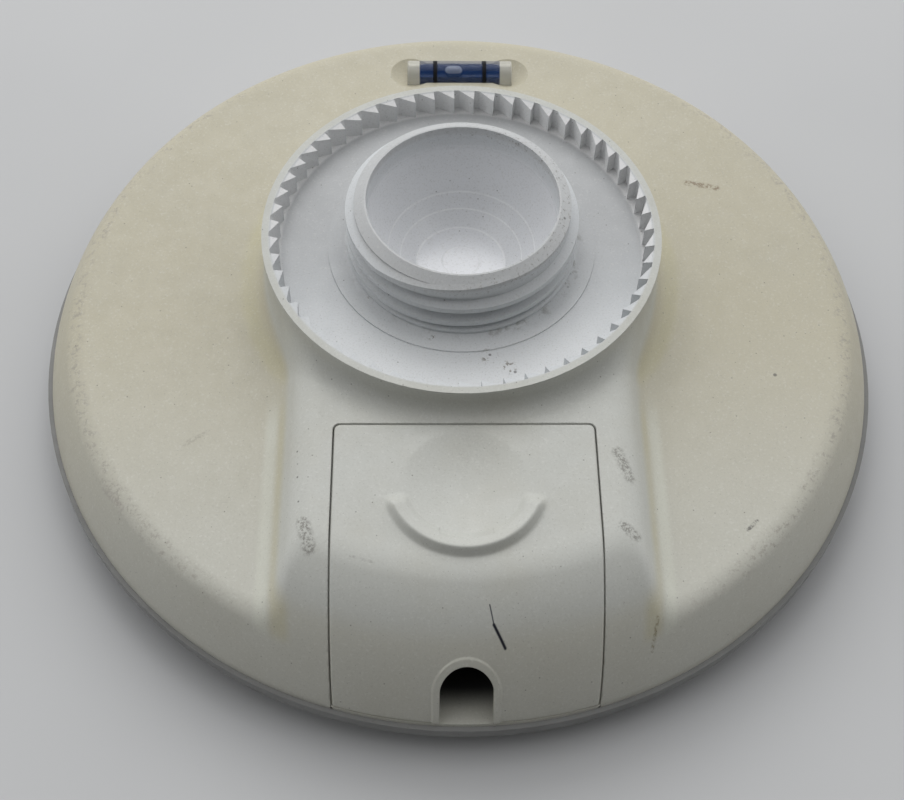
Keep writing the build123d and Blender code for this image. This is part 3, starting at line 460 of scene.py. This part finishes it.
# ---- small helpers for node materials ---------------------------------------------------------
class Look:
    """A node material with a Principled shader, and short ways to add what feeds it."""

    def __init__(self, name, color, roughness, metallic=0.0, **sockets):
        self.material = bpy.data.materials.new(name)
        self.material.use_nodes = True
        self.tree = self.material.node_tree
        self.shader = self.tree.nodes["Principled BSDF"]
        self.shader.inputs["Base Color"].default_value = (*color, 1.0)
        self.shader.inputs["Roughness"].default_value = roughness
        self.shader.inputs["Metallic"].default_value = metallic
        for socket, value in sockets.items():
            self.shader.inputs[socket.replace("_", " ")].default_value = value
        self.place = self.add("ShaderNodeTexCoord").outputs["Object"]

    def add(self, kind, **settings):
        node = self.tree.nodes.new(kind)
        for key, value in settings.items():
            setattr(node, key, value)
        return node

    def feed(self, source, target):
        self.tree.links.new(source, target)

    def noise(self, scale, detail=2.0, roughness=0.5, stretch=None):
        node = self.add("ShaderNodeTexNoise")
        node.inputs["Scale"].default_value = scale
        node.inputs["Detail"].default_value = detail
        node.inputs["Roughness"].default_value = roughness
        place = self.place
        if stretch:
            mapping = self.add("ShaderNodeMapping")
            mapping.inputs["Scale"].default_value = stretch
            self.feed(self.place, mapping.inputs["Vector"])
            place = mapping.outputs["Vector"]
        self.feed(place, node.inputs["Vector"])
        return node.outputs["Fac"]

    def cells(self, scale):
        node = self.add("ShaderNodeTexVoronoi")
        node.inputs["Scale"].default_value = scale
        self.feed(self.place, node.inputs["Vector"])
        return node.outputs["Distance"]

    def between(self, source, low, high, out_low=0.0, out_high=1.0):
        """A smooth step from one value to another while the source goes from low to high."""
        node = self.add("ShaderNodeMapRange", interpolation_type="SMOOTHSTEP")
        for socket, value in zip(("From Min", "From Max", "To Min", "To Max"),
                                 (low, high, out_low, out_high)):
            node.inputs[socket].default_value = value
        self.feed(source, node.inputs["Value"])
        return node.outputs["Result"]

    def shifted(self, x, y, z):
        """The place less a point, in millimetres; without a z it is as seen from above."""
        less = self.add("ShaderNodeVectorMath", operation="SUBTRACT")
        self.feed(self.place, less.inputs[0])
        less.inputs[1].default_value = (x * MM, y * MM, (z or 0) * MM)
        scaled = self.add("ShaderNodeVectorMath", operation="MULTIPLY")
        self.feed(less.outputs["Vector"], scaled.inputs[0])
        scaled.inputs[1].default_value = (1 / MM, 1 / MM, 0 if z is None else 1 / MM)
        return scaled.outputs["Vector"]

    def away(self, x, y, z=None):
        """Distance in millimetres from a point, or without a z from an upright axis."""
        length = self.add("ShaderNodeVectorMath", operation="LENGTH")
        self.feed(self.shifted(x, y, z), length.inputs[0])
        return length.outputs["Value"]

    def along(self, axis):
        split = self.add("ShaderNodeSeparateXYZ")
        self.feed(self.shifted(0, 0, 0), split.inputs["Vector"])
        return split.outputs[axis]

    def stroke(self, start, end):
        """Distance in millimetres, seen from above, from a straight stroke."""
        run = Vector(end) - Vector(start)
        relative = self.shifted(*start, None)
        share = self.add("ShaderNodeVectorMath", operation="DOT_PRODUCT")
        self.feed(relative, share.inputs[0])
        share.inputs[1].default_value = (*run.normalized(), 0)
        held = self.math("MINIMUM", self.math("MAXIMUM", share.outputs["Value"], 0.0), run.length)
        foot = self.add("ShaderNodeVectorMath", operation="SCALE")
        foot.inputs[0].default_value = (*run.normalized(), 0)
        self.feed(held, foot.inputs["Scale"])
        apart = self.add("ShaderNodeVectorMath", operation="DISTANCE")
        self.feed(relative, apart.inputs[0])
        self.feed(foot.outputs["Vector"], apart.inputs[1])
        return apart.outputs["Value"]

    def math(self, operation, first, second):
        node = self.add("ShaderNodeMath", operation=operation)
        for socket, value in zip(node.inputs, (first, second)):
            if isinstance(value, (int, float)):
                socket.default_value = value
            else:
                self.feed(value, socket)
        return node.outputs["Value"]

    def product(self, *factors):
        """The factors multiplied together, in their order."""
        result = factors[0]
        for factor in factors[1:]:
            result = self.math("MULTIPLY", result, factor)
        return result

    def off(self, source, value):
        """How far a number lies from a value, on either side."""
        return self.math("ABSOLUTE", self.math("SUBTRACT", source, value), 0.0)

    def tint(self, color, amount):
        """Lay a colour over what the base colour is so far, by an amount from 0 to 1."""
        base = self.shader.inputs["Base Color"]
        node = self.add("ShaderNodeMix", data_type="RGBA")
        if base.is_linked:
            self.feed(base.links[0].from_socket, node.inputs["A"])
        else:
            node.inputs["A"].default_value = base.default_value
        node.inputs["B"].default_value = (*color, 1.0)
        self.feed(amount, node.inputs["Factor"])
        self.feed(node.outputs["Result"], base)

    def rough(self, source, low, high):
        self.feed(self.between(source, 0.25, 0.75, low, high), self.shader.inputs["Roughness"])

    def gloss(self, value, amount):
        """Bring the roughness to a value, by an amount from 0 to 1."""
        socket = self.shader.inputs["Roughness"]
        node = self.add("ShaderNodeMix", data_type="FLOAT")
        self.feed(socket.links[0].from_socket, node.inputs["A"])
        node.inputs["B"].default_value = value
        self.feed(amount, node.inputs["Factor"])
        self.feed(node.outputs["Result"], socket)

    def bump(self, height, distance, strength=1.0):
        """Add relief, in metres, on top of any there is."""
        node = self.add("ShaderNodeBump")
        node.inputs["Strength"].default_value = strength
        node.inputs["Distance"].default_value = distance
        self.feed(height, node.inputs["Height"])
        normal = self.shader.inputs["Normal"]
        if normal.is_linked:
            self.feed(normal.links[0].from_socket, node.inputs["Normal"])
        self.feed(node.outputs["Normal"], normal)

    def wear(self, *names):
        for name in names:
            piece = nodes[name] if isinstance(name, str) else name
            piece.data.materials.clear()
            piece.data.materials.append(self.material)


# ---- materials --------------------------------------------------------------------------------
def aged(look, from_ring):
    """Yellowing of the exposed flats, most of all in the coves, a painted highlight on the flat
    beside the tongue's foot, and wear along their edge.
    """
    height, back = look.along("Z"), look.along("Y")
    across = look.math("ABSOLUTE", look.along("X"), 0.0)
    low = look.between(height, 31, 27)
    flat_yellow = (0.520, 0.486, 0.370)
    look.tint(flat_yellow, look.product(low, look.between(back, -75, 5, 0.30, 1.0)))

    foot = look.between(look.off(from_ring, RING_RADIUS + 4.2), 3.2, 0.6)
    edge = look.off(across, TONGUE_HALF_FOOT - 3.0)
    tongue = look.product(look.between(back, -24, -34), look.between(height, 21.5, 24.0))
    cove = look.product(look.between(edge, 3.0, 0.6), tongue)
    patchy = look.between(look.noise(38, 3, 0.6), 0.3, 0.7, 0.45, 1.0)
    cove_yellow = (0.530, 0.495, 0.335)
    look.tint(cove_yellow, look.product(look.math("MAXIMUM", foot, cove), low, patchy))

    # painted highlight: a paler band on the flat just beside the foot of the tongue
    cove_side_highlight = look.between(look.off(across, TONGUE_HALF_FOOT + 0.6), 2.2, 0.4)
    painted_highlight_pale = (0.62, 0.625, 0.545)
    look.tint(painted_highlight_pale, look.product(cove_side_highlight, tongue, low, 0.8))

    rim = look.between(look.off(look.away(0, 0), RIM_WEAR_RADIUS), 2.8, 0.4)
    sides = look.between(across, 35, 65)
    rubbed = look.between(look.noise(620, 5, 0.85), 0.51, 0.62)
    rubbed_grey = (0.33, 0.30, 0.26)
    look.tint(rubbed_grey, look.product(rim, sides, rubbed, 0.7))


def mount(look, from_ring):
    """The mount's own cleaner plastic: ratchet ring, its teeth, its floor and the collar's lip;
    painted shade on the far floor, and painted light on the near floor and on the far walls of the
    teeth.
    """
    height, back = look.along("Z"), look.along("Y")
    whole = look.product(look.between(from_ring, MOUNT_RADIUS + 0.4, MOUNT_RADIUS - 0.4),
                         look.between(height, 29, 30))
    clean_white = (0.620, 0.640, 0.655)
    look.tint(clean_white, whole)

    floor = look.product(whole, look.between(height, 37.0, 36.4))
    # painted shade: the floor greyer towards the far side of the ring
    far_painted_shade = (0.42, 0.425, 0.43)
    look.tint(far_painted_shade, look.product(floor, look.between(back, -20, 20, 0, 0.70)))
    near = look.product(floor, look.between(back, 0, -26))
    # painted light: the near part of the floor paler
    near_painted_light = (0.745, 0.760, 0.770)
    look.tint(near_painted_light, near)
    crumbs = look.between(look.noise(1250, 4, 0.8), 0.645, 0.70)
    look.tint((0.20, 0.19, 0.17), look.product(crumbs, near, 0.7))

    beyond = look.between(from_ring, TOOTH_ROOT_RADIUS - 0.5, TOOTH_ROOT_RADIUS + 0.5)
    below_top = look.between(height, 41.60, 41.45)
    inner = look.between(from_ring, MOUNT_RADIUS + 0.8, MOUNT_RADIUS + 0.2)
    above_floor = look.between(height, 35, 36)
    far_side = look.between(back, -12, 14)
    # painted light: the walls of the teeth on the far side of the ring paler
    tooth_painted_light = (0.80, 0.80, 0.80)
    walls = look.product(look.product(beyond, below_top), look.product(inner, above_floor))
    look.tint(tooth_painted_light, look.product(walls, far_side))
    lip_grey = (0.53, 0.54, 0.545)
    look.tint(lip_grey, look.product(whole, look.between(height, 49.0, 50.0)))


def bowl(look, from_ring):
    """The glossy ball bowl, with the turned lines of its tool; painted shade on its near wall and
    the near part of its bottom, and painted light on its bottom and on the lines.
    """
    back = look.along("Y")
    inside = look.between(from_ring, BOWL_RADIUS + 0.25, BOWL_RADIUS - 0.25)
    bottom = look.between(from_ring, BOWL_BOTTOM_RADIUS + 0.4, BOWL_BOTTOM_RADIUS - 0.4)
    look.tint((0.775, 0.785, 0.805), inside)
    # painted shade: the near wall darker
    look.tint((0.67, 0.68, 0.70), look.product(inside, look.between(back, -4, -14, 0, 0.8)))
    # painted light: the bottom paler than the wall
    look.tint((0.82, 0.83, 0.855), bottom)
    # painted shade: the near part of the bottom darker
    look.tint((0.58, 0.59, 0.61), look.product(bottom, look.between(back, 2, -9)))
    look.gloss(0.19, inside)
    lines = None
    for radius, width in TURNED_LINES:
        line = look.between(look.off(from_ring, radius), width, width * 0.2)
        lines = line if lines is None else look.math("MAXIMUM", lines, line)
    # painted highlight: the turned lines paler; the bump below is their relief
    look.tint((0.90, 0.91, 0.92), look.product(lines, 0.70))
    look.bump(lines, 0.00006, 0.8)


def mount_dirt(look, from_ring):
    """Dirt round the foot of the thread and on the collar's lip, most on the right."""
    height = look.along("Z")
    blotches = look.between(look.noise(420, 4, 0.7), 0.50, 0.68)
    sided = look.between(look.along("X"), -14, 20, 0.2, 1.0)
    base = look.product(look.between(from_ring, THREAD_RADIUS + 3.2, THREAD_RADIUS - 0.8),
                        look.between(from_ring, 22, 23), look.between(height, 38.0, 36.6))
    lip = look.product(look.between(from_ring, THREAD_RADIUS + 0.3, THREAD_RADIUS - 0.3),
                       look.between(height, 47.5, 48.5),
                       look.between(look.noise(1300, 4, 0.75), 0.56, 0.66))
    dirt = look.math("MAXIMUM", look.product(base, blotches), lip)
    look.tint((0.16, 0.15, 0.13), look.product(dirt, sided, 0.75))


def cable_bay(look):
    """Painted shade: the inside of the cable bay, seen through the notch, painted near black."""
    height, from_axis = look.along("Z"), look.away(0, 0)
    across = look.math("ABSOLUTE", look.along("X"), 0.0)
    bay = look.product(look.between(across, COVER_HALF + 0.3, COVER_HALF + 0.1),
                       look.between(look.along("Y"), COVER_TOP_Y + 2, COVER_TOP_Y))
    deep = look.product(look.between(from_axis, 85, 84), look.between(height, 24.8, 24.3))
    sill = look.product(look.between(from_axis, 91, 85), look.between(height, 17, 16))
    # painted shade: the bay's deep inside and its sill near black
    look.tint((0.045, 0.045, 0.045), look.product(bay, look.math("MAXIMUM", deep, sill)))


# a stroke's two ends as seen from above, its half width, its colour and how much it covers
SMUDGE = (0.17, 0.16, 0.14)
SCUFFS = (
    ((-32.1, -60.9), (-30.7, -66.5), 1.90, SMUDGE, 0.75),
    ((31.0, -44.9), (33.1, -50.7), 1.70, SMUDGE, 0.70),
    ((31.0, -62.1), (33.3, -63.9), 1.60, SMUDGE, 0.75),
    ((54.7, 37.4), (61.5, 35.8), 1.20, (0.20, 0.14, 0.08), 0.79),
    ((-59.0, -36.7), (-54.1, -33.4), 0.80, (0.32, 0.30, 0.25), 0.50),
    ((-74.8, -46.1), (-70.4, -51.3), 0.80, (0.35, 0.31, 0.28), 0.50),
    ((57.9, -57.3), (60.0, -55.2), 0.55, (0.10, 0.09, 0.08), 0.75),
    ((37.6, -77.3), (36.7, -81.8), 0.50, (0.20, 0.16, 0.08), 0.60),
    ((-22.6, -68.4), (-18.4, -69.7), 0.40, (0.30, 0.29, 0.27), 0.50),
)
PEN_STROKES = (
    ((4.3, -77.7), (5.1, -80.9), 0.20, (0.02, 0.02, 0.04), 0.85),
    ((5.1, -80.9), (7.3, -84.3), 0.42, (0.01, 0.01, 0.02), 1.00),
)
# a place and a radius each
SPECKS = (
    (68.5, -18.7, 25.1, 0.55), (58.3, -56.9, 25.1, 0.45), (23.0, -3.3, 36.1, 0.60),
    (-6.6, -16.5, 36.1, 0.55), (5.6, -21.2, 36.1, 0.40), (10.8, -25.6, 36.1, 0.45),
    (-33.8, -50.2, 34.5, 0.35), (-34.1, -44.0, 34.2, 0.30), (-33.2, -56.0, 34.6, 0.30),
    (-23.2, -2.0, 51.0, 0.35), (-17.8, -7.7, 51.0, 0.40), (21.6, 3.8, 51.0, 0.40),
)
DEBRIS = (
    (5.4, -21.6, 36.1, 2.4), (9.6, -24.4, 36.1, 2.2), (-6.6, -16.5, 36.1, 1.6),
    (22.6, -1.6, 37.0, 1.8), (-20.0, -7.0, 36.1, 1.4),
)


def handled(look):
    """Scuffs, a pen stroke, specks and crumbs of dirt from use, and darker grains over the far
    part of the thumb hollow.
    """
    ragged = look.between(look.noise(1300, 4, 0.8), 0.43, 0.57, 0.06, 1.0)
    for start, end, width, colour, amount in SCUFFS:
        shape = look.between(look.stroke(start, end), width, width * 0.3)
        look.tint(colour, look.product(shape, ragged, amount))
    for start, end, width, colour, amount in PEN_STROKES:
        shape = look.between(look.stroke(start, end), width, width * 0.3)
        look.tint(colour, look.product(shape, amount))
    for x, y, z, size in SPECKS:
        shape = look.between(look.away(x, y, z), size, size * 0.5)
        look.tint((0.07, 0.065, 0.06), look.product(shape, 0.7))
    crumbs = look.between(look.noise(900, 3, 0.6), 0.55, 0.62)
    for x, y, z, size in DEBRIS:
        shape = look.between(look.away(x, y, z), size, size * 0.4)
        look.tint((0.22, 0.20, 0.17), look.product(shape, crumbs, 0.85))
    # darker grains over the far part of the thumb hollow
    dish = look.between(look.away(1.5, -44.0), 9, 2)
    grains = look.between(look.noise(2200, 3, 0.7), 0.48, 0.62)
    look.tint((0.26, 0.26, 0.25), look.product(dish, grains, 0.12))


def housing_look():
    """Off-white moulded plastic of the housing and its cover."""
    look = Look("housing_plastic", (0.555, 0.562, 0.525), 0.50)
    from_ring = look.away(0, RING_Y)
    aged(look, from_ring)
    look.tint((0.47, 0.45, 0.37), look.between(look.noise(45, 4, 0.6), 0.40, 0.80, 0, 0.30))
    look.rough(look.noise(260, 3, 0.6), 0.42, 0.58)
    mount(look, from_ring)
    bowl(look, from_ring)
    mount_dirt(look, from_ring)
    look.tint((0.36, 0.35, 0.31), look.between(look.noise(2300, 3, 0.7), 0.48, 0.80, 0, 0.38))
    look.tint((0.80, 0.80, 0.77), look.between(look.noise(1700, 2, 0.6), 0.52, 0.78, 0, 0.22))
    look.tint((0.10, 0.09, 0.07), look.between(look.cells(330), 0.07, 0.03, 0, 0.60))
    look.tint((0.14, 0.13, 0.11), look.between(look.cells(720), 0.09, 0.04, 0, 0.45))
    handled(look)
    cable_bay(look)
    look.bump(look.noise(2600, 2, 0.6), 0.00002, 0.6)
    return look


def radome_look():
    """Grey front shell."""
    look = Look("radome_plastic", (0.22, 0.22, 0.214), 0.45)
    look.tint((0.165, 0.165, 0.16), look.between(look.noise(60, 4, 0.6), 0.4, 0.8, 0, 0.5))
    look.tint((0.12, 0.115, 0.10), look.between(look.cells(500), 0.09, 0.04, 0, 0.5))
    look.rough(look.noise(300, 3, 0.6), 0.38, 0.55)
    look.bump(look.noise(2400, 2, 0.6), 0.000015, 0.6)
    return look


def plain_look(name, color, roughness, grain, metallic=0.0, **sockets):
    """A moulded, pressed or plated finish with faint colour change and grain."""
    look = Look(name, color, roughness, metallic, **sockets)
    darker = tuple(c * 0.72 for c in color)
    look.tint(darker, look.between(look.noise(grain / 8, 3, 0.6), 0.4, 0.8, 0, 0.6))
    look.rough(look.noise(grain / 3, 3, 0.6), roughness * 0.8, min(roughness * 1.3, 0.95))
    look.bump(look.noise(grain, 2, 0.6), 0.000012, 0.5)
    return look


def board_look():
    """Green solder mask over fine copper tracks."""
    look = Look("board_laminate", (0.012, 0.10, 0.045), 0.32, Coat_Weight=0.4)
    tracks = look.between(look.noise(420, 0, 0.5, (1, 6, 1)), 0.48, 0.52)
    cross = look.between(look.noise(420, 0, 0.5, (6, 1, 1)), 0.48, 0.52)
    pattern = look.math("MULTIPLY", tracks, cross)
    look.tint((0.03, 0.17, 0.07), pattern)
    look.bump(pattern, 0.00002, 0.5)
    return look


def reach(node, axis):
    """Middle and half size of a node along an axis, in millimetres."""
    low, high = (corner[axis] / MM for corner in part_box(node))
    return (low + high) / 2, (high - low) / 2


def vial_look():
    """Clear acrylic with painted refraction: the fluid's blue painted over the filled length
    across its whole height, and painted light on its pale, half-clear ends.
    """
    # painted light: a pale base colour that the half-clear ends show
    look = Look("clear_acrylic", (0.80, 0.79, 0.72), 0.05, IOR=1.49, Specular_IOR_Level=0.6)
    middle, half = reach("level_fluid", 0)
    filled = look.between(look.off(look.along("X"), middle), half + 0.1, half - 0.1)
    # painted refraction: the fluid's blue over the whole height of the filled length
    look.tint((0.024, 0.066, 0.215), filled)
    look.feed(look.between(filled, 0.0, 1.0, 0.50, 0.30), look.shader.inputs["Alpha"])
    look.rough(look.noise(500, 3, 0.6), 0.06, 0.16)
    return look


def bubble_look():
    """The bubble: its top painted pale as a highlight, and its lower half painted with the fluid's
    blue.
    """
    # painted highlight: the bubble's pale colour
    look = Look("bubble_air", (0.86, 0.90, 0.94), 0.15)
    middle = reach("level_bubble", 2)[0]
    # painted refraction: the lower half in the fluid's blue
    look.tint((0.12, 0.18, 0.34), look.between(look.along("Z"), middle + 0.75, middle + 0.35))
    look.rough(look.noise(900, 3, 0.6), 0.12, 0.20)
    return look


def fluid_look():
    """Blue fluid, clear in the thin film over the bubble's channel."""
    look = Look("blue_fluid", (0.024, 0.066, 0.205), 0.10, IOR=1.36, Coat_Weight=0.4)
    look.tint((0.040, 0.100, 0.27), look.between(look.noise(160, 2, 0.5), 0.4, 0.7, 0, 0.5))
    middle = reach("level_fluid", 2)[0]
    film = look.between(look.along("Z"), middle + 0.1, middle + 0.4)
    look.feed(look.between(film, 0.0, 1.0, 1.0, 0.07), look.shader.inputs["Alpha"])
    return look


housing = housing_piece()
cover = cover_piece()
housing_look().wear("rear_housing", "port_cover", housing, cover)
radome_look().wear("front_radome")
vial_look().wear("level_vial")
fluid_look().wear("level_fluid")
bubble_look().wear("level_bubble")
board_look().wear("main_board", "patch_board")

# name, colour, roughness, grain, the nodes that wear it, metallic and other sockets
FINISHES = (
    ("black_ink", (0.006, 0.006, 0.008), 0.60, 2500, ["level_line_rings"],
     {"Specular_IOR_Level": 0.2}),
    ("seal_rubber", (0.018, 0.018, 0.018), 0.75, 1800, ["rim_seal"], {}),
    ("reflector_aluminium", (0.72, 0.72, 0.73), 0.34, 900, ["antenna_reflector"],
     {"metallic": 1.0}),
    ("copper", (0.72, 0.36, 0.20), 0.30, 1500, ["antenna_patches", "feed_pins"],
     {"metallic": 1.0}),
    ("nylon", (0.70, 0.68, 0.58), 0.45, 1500, ["patch_spacers", "feed_bushes"], {}),
    ("jack_shell", (0.58, 0.58, 0.59), 0.30, 1400, ["ethernet_jack"], {"metallic": 1.0}),
    ("gold", (0.83, 0.60, 0.22), 0.22, 1500, ["jack_contacts"], {"metallic": 1.0}),
    ("black_moulding", (0.02, 0.02, 0.021), 0.55, 1800,
     ["ethernet_magnetics", "radio_chip", "processor_chip", "reset_switch"], {}),
    ("tinned_steel", (0.62, 0.62, 0.61), 0.28, 1200, ["radio_shield", "processor_shield"],
     {"metallic": 1.0}),
    ("pad_rubber", (0.28, 0.32, 0.38), 0.80, 1200, ["thermal_pads"], {}),
    ("can_aluminium", (0.68, 0.68, 0.70), 0.30, 1600, ["capacitors"], {"metallic": 1.0}),
    ("ferrite", (0.045, 0.043, 0.042), 0.62, 1400, ["power_inductor"], {}),
    ("button_plastic", (0.035, 0.035, 0.037), 0.40, 1600, ["reset_button"], {}),
    ("led_lens", (0.25, 0.45, 0.24), 0.25, 1500, ["status_leds"], {"Coat_Weight": 0.5}),
    ("screw_steel", (0.56, 0.56, 0.56), 0.32, 1600, ["board_screws", "reflector_screws"],
     {"metallic": 1.0}),
)
for name, color, roughness, grain, wearers, sockets in FINISHES:
    plain_look(name, color, roughness, grain, **sockets).wear(*wearers)


# ---- table, light and camera ------------------------------------------------------------------
def table():
    """Plain pale table top that the radio lies on."""
    half = 3.0
    mesh = bpy.data.meshes.new("table")
    corners = [(-half, -half, 0), (half, -half, 0), (half, half, 0), (-half, half, 0)]
    mesh.from_pydata(corners, [], [(0, 1, 2, 3)])
    floor = bpy.data.objects.new("table", mesh)
    bpy.context.scene.collection.objects.link(floor)
    look = Look("table_surface", (0.575, 0.58, 0.585), 0.6)
    look.tint((0.54, 0.545, 0.55), look.between(look.noise(9, 3, 0.5), 0.4, 0.7, 0, 0.5))
    look.wear(floor)


def area_light(name, place, target, size, power):
    """A soft rectangular lamp that faces a target."""
    data = bpy.data.lights.new(name, "AREA")
    data.shape = "RECTANGLE"
    data.size, data.size_y = size
    data.energy = power
    lamp = bpy.data.objects.new(name, data)
    lamp.location = place
    lamp.rotation_euler = (Vector(target) - Vector(place)).to_track_quat("-Z", "Y").to_euler()
    bpy.context.scene.collection.objects.link(lamp)


def room_light():
    """A bright room, open overhead, behind and to the sides, and dark on the near side."""
    world = bpy.data.worlds.new("room")
    bpy.context.scene.world = world
    world.use_nodes = True
    tree = world.node_tree

    def add(kind, **settings):
        node = tree.nodes.new(kind)
        for key, value in settings.items():
            setattr(node, key, value)
        return node

    place = add("ShaderNodeTexCoord").outputs["Generated"]
    behind = add("ShaderNodeVectorMath", operation="DOT_PRODUCT")
    behind.inputs[1].default_value = (-0.10, 0.97, 0.20)
    tree.links.new(place, behind.inputs[0])
    split = add("ShaderNodeSeparateXYZ")
    tree.links.new(place, split.inputs["Vector"])
    aside = add("ShaderNodeMath", operation="ABSOLUTE")
    tree.links.new(split.outputs["X"], aside.inputs[0])
    total = add("ShaderNodeMath", operation="MULTIPLY_ADD")
    total.inputs[1].default_value = 0.45
    tree.links.new(aside.outputs["Value"], total.inputs[0])
    tree.links.new(behind.outputs["Value"], total.inputs[2])
    ramp = add("ShaderNodeMapRange", interpolation_type="SMOOTHSTEP")
    for socket, value in (("From Min", -0.22), ("From Max", 0.34),
                          ("To Min", 0.02), ("To Max", 0.98)):
        ramp.inputs[socket].default_value = value
    tree.links.new(total.outputs["Value"], ramp.inputs["Value"])

    path = add("ShaderNodeLightPath")
    seen = add("ShaderNodeMix")
    seen.inputs["B"].default_value = 0.9
    tree.links.new(path.outputs["Is Camera Ray"], seen.inputs["Factor"])
    tree.links.new(ramp.outputs["Result"], seen.inputs["A"])
    background = tree.nodes["Background"]
    background.inputs["Color"].default_value = (0.99, 0.995, 1.0, 1.0)
    tree.links.new(seen.outputs["Result"], background.inputs["Strength"])
    area_light("window", (-0.10, 0.90, 1.00), (0, 0, 0.02), (1.0, 0.7), 5.0)


def camera():
    """The photograph's viewing angle, solved from the outlines of the rim, ring and collar."""
    eye = Vector((-0.00833, -0.20573, 0.29319))
    aim = Vector((-0.00227, -0.02522, 0.025))
    roll = math.radians(-1.57)
    forward = (aim - eye).normalized()
    side = forward.cross(Vector((0, 0, 1))).normalized()
    up = side.cross(forward)
    turned_side = side * math.cos(roll) - up * math.sin(roll)
    turned_up = up * math.cos(roll) + side * math.sin(roll)
    data = bpy.data.cameras.new("camera")
    data.sensor_width = 36.0
    data.sensor_fit = "HORIZONTAL"
    data.lens = 59.73
    data.clip_start = 0.01
    data.clip_end = 20.0
    eye_object = bpy.data.objects.new("camera", data)
    axes = Matrix((turned_side, turned_up, -forward)).transposed()
    eye_object.matrix_world = Matrix.Translation(eye) @ axes.to_4x4()
    bpy.context.scene.collection.objects.link(eye_object)
    bpy.context.scene.camera = eye_object


table()
room_light()
camera()
bpy.context.scene.view_settings.view_transform = "Standard"
